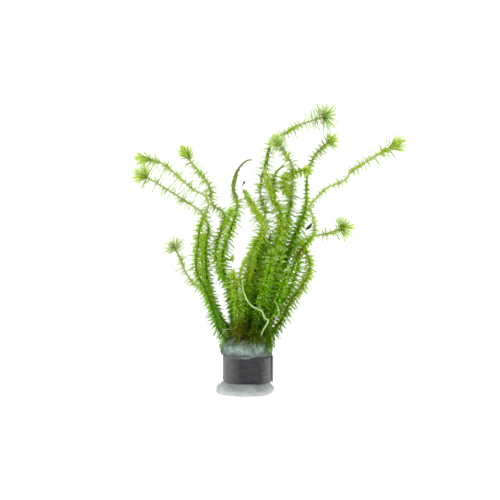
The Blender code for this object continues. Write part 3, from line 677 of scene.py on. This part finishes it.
        (6, -6.5, 19.2, 0.6), (6, -6.5, 28.6, 5.4), (9.4, -9.6, 35.6, 3), (13.4, -11.4, 44.6, 4),
        (16.8, -12.4, 53.4, 4.2), (19.2, -12.6, 61.6, 4),
    )),
    "stem_21": (-0.20, 200, 0.45, 1.25, 1.00, (
        (4.7, -3.4, 19.2, 0.6), (4.7, -3.4, 29.2, 5.4), (6.6, -4.8, 38, 3), (9.2, -6.4, 48, 4),
        (12, -7.6, 57, 4.2), (14.8, -8.4, 65, 4.2), (16.6, -8.8, 71.6, 4),
    )),
    "stem_22": (0.25, 200, 0.45, 1.45, 1.00, (
        (-4.8, -9, 19.2, 0.6), (-4.8, -9, 28.6, 2.8), (-4.4, -12, 36, 3), (-4.6, -13.4, 45, 4),
        (-5.6, -13.4, 53, 4.8), (-6.8, -13, 59.0, 5.0),
    )),
    "side_shoot_01": (2.40, 50, 1.20, 0.80, 0.10, (
        (-18.9, 4.8, 47.4, 0.8), (-20.5, 5.8, 48.6, 1.6), (-24.6, 7.2, 52.4, 2.6), (-28.9, 9.2, 56.4, 3.4),
        (-32.1, 11, 61.3, 3.6), (-34.4, 12.2, 67.4, 4), (-37.6, 13.6, 73, 4.2),
    )),
    "side_shoot_02": (0.70, 200, 0.50, 1.20, 1.00, (
        (12.2, -4.9, 98.4, 0.8), (13.4, -3.4, 100.4, 2.6), (13.0, -2.2, 104.7, 3), (13.5, -0.8, 109.2, 2),
        (15.4, -0.4, 111.8, 1.2), (18, -0.4, 114, 1.4),
    )),
    "side_shoot_03": (0.50, 200, 0.80, 2.20, 1.00, (
        (21.8, 1.0, 99.4, 0.8), (20.6, -0.9, 100.3, 2.0), (18.4, -2.2, 102.3, 3.2), (17.7, -3.2, 105.2, 3.4),
        (18.6, -4.4, 108.2, 3.4),
    )),
    "side_shoot_04": (0.80, 200, 0.70, 1.40, 1.00, (
        (19.2, -4.3, 108.2, 1.6), (20.6, -3.8, 108.9, 2.6), (22.6, -3, 109.9, 3), (26.1, -4.2, 111.1, 3),
        (28.6, -5, 111.2, 3.2), (30.2, -5.6, 111.4, 3.2),
    )),
    "side_shoot_05": (0.90, 200, 0.60, 1.20, 1.00, (
        (-12.8, 0.6, 82.6, 0.8), (-12.6, -1.2, 83.6, 1.6), (-10.4, -2.4, 85.4, 2.4),
        (-8.8, -2.2, 88.2, 3), (-8.4, -2, 91.4, 3),
    )),
}

# Small shoots on some stems, which are one piece with their stem: brightness, the height up to which
# leaves are broad, the spread of the tuft, and the route.
TWIGS = {
    "stem_04": ((0.40, 200, 0.60, (
        (-11.9, -8, 66.4, 0.6), (-10.6, -8.8, 67.4, 0.8), (-9.0, -9.2, 67.2, 1.2), (-7.7, -9.4, 67.2, 2.2),
        (-7.4, -9.4, 68.6, 2.0),
    )),),
    "stem_05": ((0.90, 60, 0.50, (
        (-1.0, -9.8, 50.0, 0.8), (-2.9, -11.6, 54, 1.6), (-3.8, -12.0, 58, 2.2), (-3.1, -12, 62.2, 2.4),
        (-1.8, -11.6, 65.4, 2.4), (-0.2, -11, 68, 2.2), (2.2, -10.6, 70.6, 1.8),
    )),),
}
# Bare threads and buds on some stems: the finish, then x, y, z and the radius at each point, in mm.
THREADS = {
    "stem_01": (("pale", ((-10.2, -4.4, 29.0, 0.26), (-12.2, -5.4, 30.6, 0.24), (-11.2, -6.0, 32.4, 0.22),
                          (-7.6, -6.4, 32.8, 0.14))),),
    "stem_04": (("olive", ((-4.9, -9, 111.6, 0.45), (-5.7, -9, 109.0, 0.90), (-6.5, -9, 106.0, 1.10),
                           (-7.0, -9, 103.2, 0.95), (-6.7, -9, 100.4, 0.55))),),
    "stem_05": (("dark", ((-0.8, -8, 99.6, 0.16), (-2.3, -8.2, 101.8, 0.12), (-2.6, -8.3, 103.2, 0.14),
                          (-2.0, -8.2, 104.5, 0.34), (-1.6, -8.2, 105.3, 0.66),
                          (-1.2, -8.2, 106.0, 0.20))),),
    "stem_06": (("deep", ((6.7, 0, 105.4, 0.50), (7.5, 0.3, 109.4, 0.62), (9.2, 1.1, 114.6, 0.78),
                          (9.9, 1.7, 118.0, 0.82), (10.5, 2, 121.0, 0.75), (11.6, 2.1, 123.8, 0.52))),),
    "stem_08": (("dark", ((21.9, 0.4, 98.6, 0.22), (24.4, -1.6, 98.2, 0.20), (27.4, -2, 96.9, 0.12))),
                ("dark", ((21.6, 1.6, 97.0, 0.22), (22.0, -0.6, 94.0, 0.20), (23.4, -1.6, 92.2, 0.18),
                          (26.2, -1.8, 91.2, 0.12)))),
    "stem_10": (("black", ((33.0, -5, 85.6, 0.16), (32.0, -5.6, 85.0, 0.22), (31.2, -6, 84.2, 0.62),
                           (30.2, -6, 83.1, 0.85), (29.3, -6, 82.4, 0.50), (28.7, -6, 81.9, 0.10))),),
    "stem_20": (("pale", ((13.0, -14.4, 47.8, 0.24), (14.5, -15.6, 45.2, 0.26), (15.4, -15.6, 41.2, 0.24),
                          (13.6, -12.6, 38.6, 0.20))),),
}

LEAF_STEP = 0.048 * MM           # along the stem from one leaf to the next
WHORL_STEP = 2.05 * MM           # along the stem between two whorls, where half the leaves stand
SHORT_SHARE = 0.70               # share of the leaves that are short
LEAF_WIDTH = 0.42 * MM
BUSHY_FADE = 4 * MM              # how far above and below their height the broad leaves give way
FRESH_LENGTH, AGED_LENGTH = 14 * MM, 75 * MM    # behind the tip: leaves are straight, and are old
STEM_THICK = (0.62 * MM, 0.46 * MM)             # radius at the foot and near the tip
ROUTE_STEP, THREAD_STEP = 0.8, 0.35             # mm between two points of a stem and of a bare thread
TUFT_LENGTH = 2.6 * MM
TUFT_LEAVES = {"stem_01": 95, "stem_05": 30, "stem_06": 115, "stem_07": 30, "stem_09": 75,
               "side_shoot_02": 30}             # where they differ from the usual ones
USUAL_TUFT, HIDDEN_TUFT, TWIG_TUFT = 120, 30, 40
GOLDEN_TURN = math.pi * (3 - math.sqrt(5))


def leaf_mesh():
    """One needle leaf, 1 long along +X and 1 wide: a keeled blade drawn to a point."""
    rings = []
    for t, wide in ((0, 0.8), (0.35, 1.0), (0.80, 0.78)):
        rings.append([(t, wide / 2, 0), (t, -wide / 2, 0), (t, 0, -0.5 * wide)])
    return ring_skin("needle", rings, last=(1.0, 0, 0))


def stem_tree():
    """The tree that turns a route into a stem with its spiral of leaves."""
    nodes = Growth("leafy_stem", {
        "Leaf": ("Object", None), "Leaf Step": ("Float", LEAF_STEP), "Leaf Width": ("Float", LEAF_WIDTH),
        "Whorl Step": ("Float", WHORL_STEP), "Short Share": ("Float", SHORT_SHARE),
        "Core": ("Float", 1.0), "Brightness": ("Float", None), "Bushy Height": ("Float", None),
        "Tuft Leaves": ("Int", None), "Tuft Length": ("Float", None), "Tuft Spread": ("Float", None),
        "Seed": ("Int", None), "Material": ("Material", None)})
    given, kept, way = nodes.given, nodes.kept, nodes.way
    bushy, tuft, extra = given["Bushy Height"], given["Tuft Length"], given["Tuft Leaves"]

    def draw(low, high, stream):
        """A random number for each leaf, from one of the stem's streams."""
        return nodes.chance(low, high, given["Seed"] + stream)

    def slenderness(position):
        """0 where leaves are broad and close and 1 where they are slender."""
        return nodes.ramp(nodes.axis(position, "Z"), bushy - BUSHY_FADE, bushy + BUSHY_FADE)

    def at(distance, **values):
        """What the route carries this far from its foot."""
        return nodes.add("GeometryNodeSampleCurve", {"mode": "LENGTH"}, {
            "Curves": route, "Length": distance, **values})

    def between(first, second, angle):
        """A direction turned from one towards another."""
        return nodes.vector("ADD", nodes.scaled(first, nodes.math("COSINE", angle)),
                            nodes.scaled(second, nodes.math("SINE", angle)))

    # The stem itself, a thin thread.
    route = nodes.add("GeometryNodeMeshToCurve", {}, {0: given["Geometry"]})
    length = nodes.add("GeometryNodeCurveLength", {}, {0: route})
    along = nodes.add("GeometryNodeSplineParameter")
    thread = nodes.store(route, "age", nodes.ramp(length - along.also("Length"), 0.0, AGED_LENGTH))
    section = nodes.add("GeometryNodeCurvePrimitiveCircle", {}, {"Resolution": 7, "Radius": 1.0})
    thread = nodes.add("GeometryNodeCurveToMesh", {}, {
        0: thread, "Profile Curve": section, "Fill Caps": True,
        "Scale": STEM_THICK[0] + along * (STEM_THICK[1] - STEM_THICK[0])})
    thread = nodes.store(thread, "blade", -1.0)
    thread = nodes.store(thread, "slender", slenderness(nodes.add("GeometryNodeInputPosition")))

    # Where each leaf stands: some anywhere, the others in whorls, and the last ones all in the tuft.
    body = nodes.math("FLOOR", (length - tuft) / given["Leaf Step"])
    number = nodes.add("GeometryNodeInputIndex")
    late = nodes.math("MAXIMUM", (number - body) / extra, 0.0)
    back = length - nodes.math("MINIMUM", number, body) * given["Leaf Step"] - tuft * late * 0.72
    short = (nodes.math("LESS_THAN", draw(0.0, 1.0, 10), given["Short Share"])
             * nodes.math("LESS_THAN", late, 0.001))
    spare = nodes.math("MAXIMUM", back - tuft, 0.0)
    slender = slenderness(at(length - back).also("Position"))
    loose = short * nodes.math("LESS_THAN", draw(0.0, 1.0, 14), 0.66)
    left = (nodes.math("MINIMUM", back, tuft) + spare * loose
            + nodes.math("SNAP", spare, given["Whorl Step"]) * (1 - loose)
            + draw(-0.2 * MM, 0.2 * MM, 0) * (0.5 + slender * 2.7 + short * 1.5))
    left = nodes.math("MAXIMUM", left, 0.0)
    sample = at(length - left, Value=kept("reach"))
    ahead, spot = sample.also("Tangent"), sample.also("Position")

    # Which way it points, and how long it is.
    young = nodes.ramp(late, 0.0, 0.12)
    fresh = 1 - nodes.ramp(left, 0.0, FRESH_LENGTH)
    turn = number * GOLDEN_TURN + draw(-0.35, 0.35, 1)
    side = nodes.vector("NORMALIZE", nodes.vector("CROSS_PRODUCT", ahead, (0.31, 0.94, 0.14)))
    out = between(side, nodes.vector("CROSS_PRODUCT", ahead, side), turn)
    spread = nodes.math("MAXIMUM", 1 - late, 0.0) ** 0.5 * given["Tuft Spread"] * math.radians(80)
    lift = ((math.radians(3) + fresh * math.radians(12)) * (1 - young)
            + young * (math.radians(88) - spread)
            + draw(-0.05, 0.05, 2) * (1 + young * 5 + slender * 2 + short * 2)
            + short * (draw(-0.2, 0.42, 11) + slender * 0.75))
    aim = between(out, ahead, lift)
    face = nodes.vector("ADD", ahead, nodes.scaled(nodes.vector("CROSS_PRODUCT", ahead, out),
                                                   draw(-0.9, 0.9, 9)))
    long = (sample * (1.28 - draw(0.0, 0.7, 3) ** 2.0)
            * (1.04 + slender * (0.46 + young * 0.08)) * (1 - short * draw(0.24, 0.70, 12)))
    bend = 0.04 + (1 - fresh) * draw(0.20, 0.36, 5) * (1 - slender * 0.6) * (1 - short * 0.6)
    foot = 1 - nodes.ramp(nodes.axis(spot, "Z"), 26 * MM, 38 * MM)

    # Whether it is there at all: bare stretches lose most of their leaves.
    bare = (1 - given["Core"]) * (1.5 - nodes.ramp(nodes.noise(spot, 170, 1.0), 0.45, 0.58) * 0.8)
    share = (nodes.ramp(sample, 0.4 * MM, 1.2 * MM)
             * (1.05 - slender * (1 - short) * (0.12 + given["Core"] * 0.24) - slender * short * bare)
             - young * (1 - slender) * 0.6)

    spots = nodes.add("GeometryNodePoints", {}, {"Count": body + extra, "Position": spot})
    for name, value, kind in (
            ("ahead", ahead, "FLOAT_VECTOR"), ("out", out, "FLOAT_VECTOR"),
            ("aim", aim, "FLOAT_VECTOR"), ("face", face, "FLOAT_VECTOR"),
            ("long", long, "FLOAT"), ("curl", long * bend, "FLOAT"),
            ("plump", 0.82 + short * 0.28 - slender * (1 - young) * 0.06 + young * 0.12, "FLOAT"),
            ("inner", short, "FLOAT"), ("slender", slender * (1 - young) * (1 - short), "FLOAT"),
            ("droop", long * (draw(0.04, 0.14, 6) + foot * draw(0.1, 1.2, 13)) * (1 - young), "FLOAT"),
            ("sway", long * draw(-0.14, 0.14, 7), "FLOAT"),
            ("age", nodes.ramp(left, 0.0, AGED_LENGTH), "FLOAT"),
            ("present", nodes.more(share, draw(0.0, 1.0, 4)), "BOOLEAN"),
            ("luck", draw(0.0, 1.0, 8), "FLOAT")):
        spots = nodes.store(spots, name, value, kind)
    leaves = nodes.real(nodes.placed(
        spots, given["Leaf"], nodes.turned(way("aim"), way("face")), kept("long"),
        given["Leaf Width"] * kept("plump"), Selection=kept("present", "BOOLEAN")))

    # The leaves curl back, droop and sway towards their tips.
    bent = kept("blade") ** 2.0
    leaves = nodes.moved(
        leaves, nodes.scaled(way("ahead"), bent * kept("curl") * -1.0),
        nodes.scaled((0.0, 0.0, -1.0), bent * kept("droop")),
        nodes.scaled(nodes.vector("CROSS_PRODUCT", way("ahead"), way("out")), bent * kept("sway")))
    return nodes.close(nodes.store(nodes.joined(thread, leaves), "bright", given["Brightness"]))


# The darker and the paler colour of the leaves at each age, and of the stem where it is young and old.
YOUNG_LEAF = ((0.42, 0.68, 0.015), (0.68, 0.88, 0.120))
GROWN_LEAF = ((0.205, 0.505, 0.001), (0.46, 0.85, 0.004))
OLD_LEAF = ((0.095, 0.330, 0.001), (0.260, 0.700, 0.004))
STALK = ((0.20, 0.34, 0.010), (0.060, 0.130, 0.004))
LEAF_TINTS = {
    "aged": (0.026, 0.105, 0.0005), "shaded": (0.022, 0.080, 0.0005), "base": (0.110, 0.270, 0.001),
    "dark tip": (0.085, 0.245, 0.001), "pale glint tip": (0.88, 0.98, 0.40), "new tip": (0.80, 0.90, 0.42),
    "slender": (0.44, 0.56, 0.24), "bleached": (0.62, 0.70, 0.38), "withered": (0.085, 0.080, 0.009),
    "thin stalk": (0.49, 0.58, 0.23), "old stalk": (0.060, 0.085, 0.005),
    "brown": (0.215, 0.205, 0.012), "umber": (0.130, 0.120, 0.012), "dark": (0.024, 0.070, 0.0005),
    "olive": (0.125, 0.190, 0.006), "sheath": (0.150, 0.150, 0.030), "frosty": (0.55, 0.75, 0.40),
}
# Places on the bunch with a look of their own: middle and reach in metres, and how strong it is.
# Painted light: spots in the heart whose leaves are drawn younger and paler, where light would shine through
# them.
PAINTED_LIGHT_SPOTS = (((0.0038, -0.0060, 0.0580), 0.0100, 0.60), ((0.0095, -0.0040, 0.0750), 0.0090, 0.35))
STAINS_AND_SHADE = (
    ("brown", (0.0250, -0.0045, 0.0715), 0.0055, 0.80), ("brown", (0.0215, -0.0045, 0.0470), 0.0060, 0.25),
    # The dark spot at the front of the heart's foot is partly older leaves, partly painted shade.
    ("umber", (-0.0050, -0.0110, 0.0310), 0.0090, 0.80), ("dark", (0.0034, -0.0120, 0.0345), 0.0085, 0.45),
    ("olive", (-0.0062, -0.0090, 0.1030), 0.0075, 0.75),
    ("sheath", (-0.0040, -0.0090, 0.1130), 0.0075, 0.85),
)
FROSTED = (((0.0390, 0.0030, 0.1385), 0.0120, 0.75), ((-0.0376, 0.0136, 0.0730), 0.0090, 0.80),
           ((0.0152, -0.0076, 0.1246), 0.0070, 0.50))


def leaf_finish():
    """Soft green tissue that light shines through: yellow-green when young, deep green with age, with
    painted shade low in the bunch and on its dark stems, painted light in spots of the heart and painted
    glints on some tips.
    """
    material, nodes, shader = finish("bogmoss_leaf", Roughness=0.5, Subsurface_Weight=0.35,
                                     Subsurface_Scale=0.00025, Subsurface_Radius=(0.8, 1.0, 0.08),
                                     Specular_IOR_Level=0.0)
    place = nodes.place()

    def near(spot, reach, full):
        """1 about a spot and 0 beyond its reach."""
        away = nodes.vector("DISTANCE", place, spot).also("Value")
        return 1 - nodes.ramp(away, reach * full, reach)

    blade, age, luck, bright, slender, inner = (
        nodes.mark(name) for name in ("blade", "age", "luck", "bright", "slender", "inner"))
    height = nodes.axis(place, "Z")
    patches = nodes.noise(place, 130, 2.0)
    # Leaves look older the further they are from the tip, and also lower in the bunch and on the dark stems:
    # partly real age, partly painted shade in the bunch's heart.
    low = 1 - nodes.ramp(height, 0.034, 0.064)
    age_and_shade = (nodes.math("MAXIMUM", age, bright * -2.0) * 1.05 - bright * 0.45
              + (patches - 0.5) * 0.6 + low * 0.55 + (0.45 - inner) * 0.50)
    # Painted light: near those spots in the heart the leaves are drawn younger and paler.
    for spot, reach, share in PAINTED_LIGHT_SPOTS:
        age_and_shade = age_and_shade - near(spot, reach, 0.3) * share
    young, grown_up, old = (nodes.mix(luck, *tones) for tones in (YOUNG_LEAF, GROWN_LEAF, OLD_LEAF))
    leaf = nodes.mix(nodes.ramp(age_and_shade, 0.0, 0.5), young, grown_up)
    leaf = nodes.mix(nodes.ramp(age_and_shade, 0.40, 1.0), leaf, old)
    shade = 1.0 - nodes.ramp(bright, 0.4, 1.5) * 0.85
    newest = 1 - nodes.ramp(age, 0.02, 0.09)
    tips = nodes.ramp(blade, 0.45, 0.85)
    grown_tips = tips * (1 - inner) * (1 - slender) * (1 - newest) * nodes.ramp(bright, 0.2, 0.5)
    # Pale tips on some leaves of the darker stems: partly real, partly painted glints that fleck the heart
    # with light.
    pale_glint_tips = tips * nodes.ramp(luck, 0.66, 0.86) * (1 - nodes.ramp(bright, 0.7, 1.0))
    foot = (1 - nodes.ramp(height, 0.029, 0.040)) * nodes.ramp(nodes.noise(place, 210, 2.0), 0.42, 0.58)
    for share, tint in (
            (nodes.ramp(age_and_shade, 1.0, 1.5) * 0.8, "aged"),
            ((1 - nodes.ramp(height, 0.030, 0.050)) * shade * 0.65, "shaded"),
            ((1 - nodes.ramp(blade, 0.05, 0.6)) * (0.30 + newest * 0.40), "base"),
            (grown_tips * 0.42, "dark tip"), (pale_glint_tips * 0.85, "pale glint tip"),
            (tips * newest * 0.45, "new tip"), (slender * 0.7, "slender"),
            (nodes.ramp(bright, 1.4, 2.0) * 0.5, "bleached"), (foot * shade * 0.75, "withered")):
        leaf = nodes.mix(share, leaf, LEAF_TINTS[tint])
    stalk = nodes.mix(nodes.ramp(age_and_shade, 0.0, 0.5), *STALK)
    stalk = nodes.mix(slender * bright * 1.2, stalk, LEAF_TINTS["thin stalk"])
    stalk = nodes.mix(nodes.ramp(age_and_shade, 0.9, 1.3) * 0.5, stalk, LEAF_TINTS["old stalk"])
    colour = nodes.mix(nodes.ramp(blade, -0.5, -0.4), stalk, leaf)
    # Stains, and painted shade at the front of the heart's foot.
    for tint, spot, reach, share in STAINS_AND_SHADE:
        colour = nodes.mix(near(spot, reach, 0.5) * share, colour, LEAF_TINTS[tint])
    for spot, reach, share in FROSTED:
        outward = near(spot, reach, 0.5) * nodes.ramp(blade, 0.1, 0.9)
        colour = nodes.mix(outward * share, colour, LEAF_TINTS["frosty"])
    feed(nodes, shader, Base_Color=colour, Normal=nodes.relief(0.35, 0.0002, nodes.noise(place, 2600, 2.0)))
    return material


def route_object(name, route):
    """A line of points that carries the reach of the leaves."""
    line = smooth_line(np.array(route) * MM, ROUTE_STEP * MM)
    mesh = bpy.data.meshes.new(name)
    mesh.from_pydata([tuple(point) for point in line[:, :3]],
                     [(i, i + 1) for i in range(len(line) - 1)], [])
    reach = mesh.attributes.new("reach", "FLOAT", "POINT")
    for i, value in enumerate(line[:, 3]):
        reach.data[i].value = value
    return linked(name, mesh)


def rope_rings(points):
    """Round sections along a smooth line, each as thick as its points say."""
    line = smooth_line(np.array(points) * MM, THREAD_STEP * MM)
    ahead = np.gradient(line[:, :3], axis=0)
    ahead /= np.linalg.norm(ahead, axis=1)[:, None]
    rings = []
    for i, (*centre, radius) in enumerate(line):
        side = np.cross(ahead[i], (0.2, 0.1, 1.0))
        side /= np.linalg.norm(side)
        other = np.cross(ahead[i], side)
        rings.append([tuple(np.array(centre) + radius * (side * math.cos(a) + other * math.sin(a)))
                      for a in np.linspace(0, 2 * math.pi, 8, endpoint=False)])
    return rings


def thread_finish(name, dark, pale):
    """Bare tissue in two tones, in patches, with a faint relief."""
    material, nodes, shader = finish(name, Roughness=0.45, Subsurface_Weight=0.3, Subsurface_Scale=0.0003)
    patches = nodes.noise(nodes.place(), 500, 3.0)
    feed(nodes, shader, Base_Color=nodes.mix(nodes.ramp(patches, 0.35, 0.65), dark, pale),
         Normal=nodes.relief(0.3, 0.0002, patches))
    return material


def leafy(name, route, bright, bushy, spread, more):
    """A stem or a twig with its leaves, along a route in mm."""
    return grown(name, route_object(name + "_route", route), leafy_stem, {
        "Leaf": needle, "Brightness": bright, "Bushy Height": bushy * MM, "Tuft Spread": spread,
        "Material": leaf_material, **more})


def fuse(piece, others):
    """Join other meshes to a piece, which keeps its name."""
    with bpy.context.temp_override(active_object=piece, object=piece,
                                   selected_editable_objects=[piece, *others]):
        bpy.ops.object.join()


thread_materials = {
    "pale": thread_finish("pale_tissue", (0.34, 0.50, 0.12), (0.58, 0.72, 0.32)),
    "deep": thread_finish("deep_green", (0.045, 0.115, 0.001), (0.120, 0.230, 0.002)),
    "olive": thread_finish("olive_sheath", (0.075, 0.130, 0.002), (0.240, 0.330, 0.015)),
    "dark": thread_finish("dark_thread", (0.045, 0.070, 0.015), (0.10, 0.14, 0.04)),
    "black": thread_finish("dead_bud", (0.006, 0.010, 0.002), (0.022, 0.030, 0.006)),
}
needle = leaf_mesh()
mark_length(needle)
leaf_material = leaf_finish()
leafy_stem = stem_tree()
for number, (name, (bright, bushy, spread, full, core, route)) in enumerate(STEMS.items()):
    stem = leafy("leafy_" + name, route, bright, bushy, spread, {
        "Leaf Width": LEAF_WIDTH * full ** 0.5, "Leaf Step": LEAF_STEP / full, "Core": core,
        "Tuft Leaves": TUFT_LEAVES.get(name, HIDDEN_TUFT if bright < 0 else USUAL_TUFT),
        "Tuft Length": TUFT_LENGTH * (0.55 if spread > 0.75 else 1.0), "Seed": 20 * number + 3})
    extras = []
    for twig, (glow, height, fan, line) in enumerate(TWIGS.get(name, ())):
        extras.append(leafy("twig", line, glow, height, fan, {
            "Tuft Leaves": TWIG_TUFT, "Tuft Length": 1.6 * MM, "Seed": 900 + 20 * twig}))
    for kind, line in THREADS.get(name, ()):
        extras.append(ring_skin("thread", rope_rings(line)))
        extras[-1].data.materials.append(thread_materials[kind])
    if extras:
        fuse(stem, extras)
    stem.data.shade_smooth()
    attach(stem, "root")
    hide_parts(name)
bpy.data.objects.remove(needle, do_unlink=True)

# Pale strand.
# A bare pale strand, a shoot that has lost its leaves, which lies across the front of the bunch with its
# foot in the wool.

# Where it runs, foot first: x, y, z and its radius there, in mm, a little thicker at its joints.
STRAND = (
    (6.0, -6.6, 28.2, 0.36), (6.9, -10.6, 31.0, 0.40), (8.2, -15.6, 34.0, 0.38), (10.1, -17.9, 37.8, 0.42),
    (8.5, -18.4, 39.1, 0.48), (7.8, -18.4, 41.0, 0.38), (6.7, -18.5, 42.8, 0.38), (3.4, -18, 44.3, 0.36),
    (1.0, -17.6, 46.2, 0.42), (-0.9, -17.2, 49.4, 0.34), (-2.2, -16.5, 53.4, 0.32), (-2.7, -16, 57.2, 0.22),
)

pale = ring_skin("pale_strand", rope_rings(STRAND))
pale.data.materials.append(thread_materials["pale"])
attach(pale, "root")
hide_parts("pale_root")

# Floor, lights and camera.
# A white sweep with soft light from both sides and above, as in a product photo, and a camera a little
# above the middle of the bunch that looks almost level.

FLOOR_SIDE, FLOOR_FRONT, FLOOR_BACK = 2.6, -2.2, 0.7    # metres from the middle, before the bend
WALL_BEND, WALL_TOP = 0.6, 3.0
WHITE = (1, 1, 1, 1)
BUNCH_MIDDLE = (0, 0, 0.07)
CAMERA_PLACE, CAMERA_DROP = (0.00125, -0.600, 0.0868), 1.43    # metres, and degrees below level
CAMERA_SENSOR, CAMERA_LENS = 36.0, 86.4


def sweep():
    """A floor that curves up into a back wall."""
    profile = [(FLOOR_FRONT, 0.0), (FLOOR_BACK, 0.0)]
    profile += [(FLOOR_BACK + WALL_BEND * math.sin(a), WALL_BEND - WALL_BEND * math.cos(a))
                for a in np.linspace(0.1, math.pi / 2, 12)]
    profile += [(FLOOR_BACK + WALL_BEND, WALL_TOP)]
    mesh = bpy.data.meshes.new("sweep")
    mesh.from_pydata([(x, y, z) for y, z in profile for x in (-FLOOR_SIDE, FLOOR_SIDE)], [],
                     [(2 * i, 2 * i + 1, 2 * i + 3, 2 * i + 2) for i in range(len(profile) - 1)])
    mesh.shade_smooth()
    paper = finish("white_paper", Base_Color=(0.93, 0.93, 0.93, 1), Roughness=0.95,
                   Emission_Color=WHITE, Emission_Strength=0.35)[0]
    mesh.materials.append(paper)
    linked("sweep", mesh)


def softbox(name, place, size, power):
    """A square area light that faces the middle of the bunch."""
    light = bpy.data.lights.new(name, "AREA")
    light.shape = "SQUARE"
    light.size = size
    light.energy = power
    lamp = linked(name, light)
    lamp.location = place
    lamp.rotation_euler = (Vector(BUNCH_MIDDLE) - Vector(place)).to_track_quat("-Z", "Y").to_euler()


sweep()
softbox("left_box", (-0.75, -0.45, 0.55), 0.6, 3)
softbox("right_box", (0.8, -0.35, 0.45), 0.6, 2)
softbox("top_box", (0.05, 0.1, 1.0), 0.8, 3)

world = bpy.data.worlds.new("studio")
bpy.context.scene.world = world
world.use_nodes = True
world.node_tree.nodes["Background"].inputs["Color"].default_value = WHITE
world.node_tree.nodes["Background"].inputs["Strength"].default_value = 0.6
bpy.context.scene.view_settings.view_transform = "Standard"

camera = linked("camera", bpy.data.cameras.new("camera"))
camera.location = CAMERA_PLACE
camera.rotation_euler = (math.radians(90 - CAMERA_DROP), 0, 0)
camera.data.sensor_width = CAMERA_SENSOR
camera.data.lens = CAMERA_LENS
bpy.context.scene.camera = camera

bpy.context.view_layer.update()
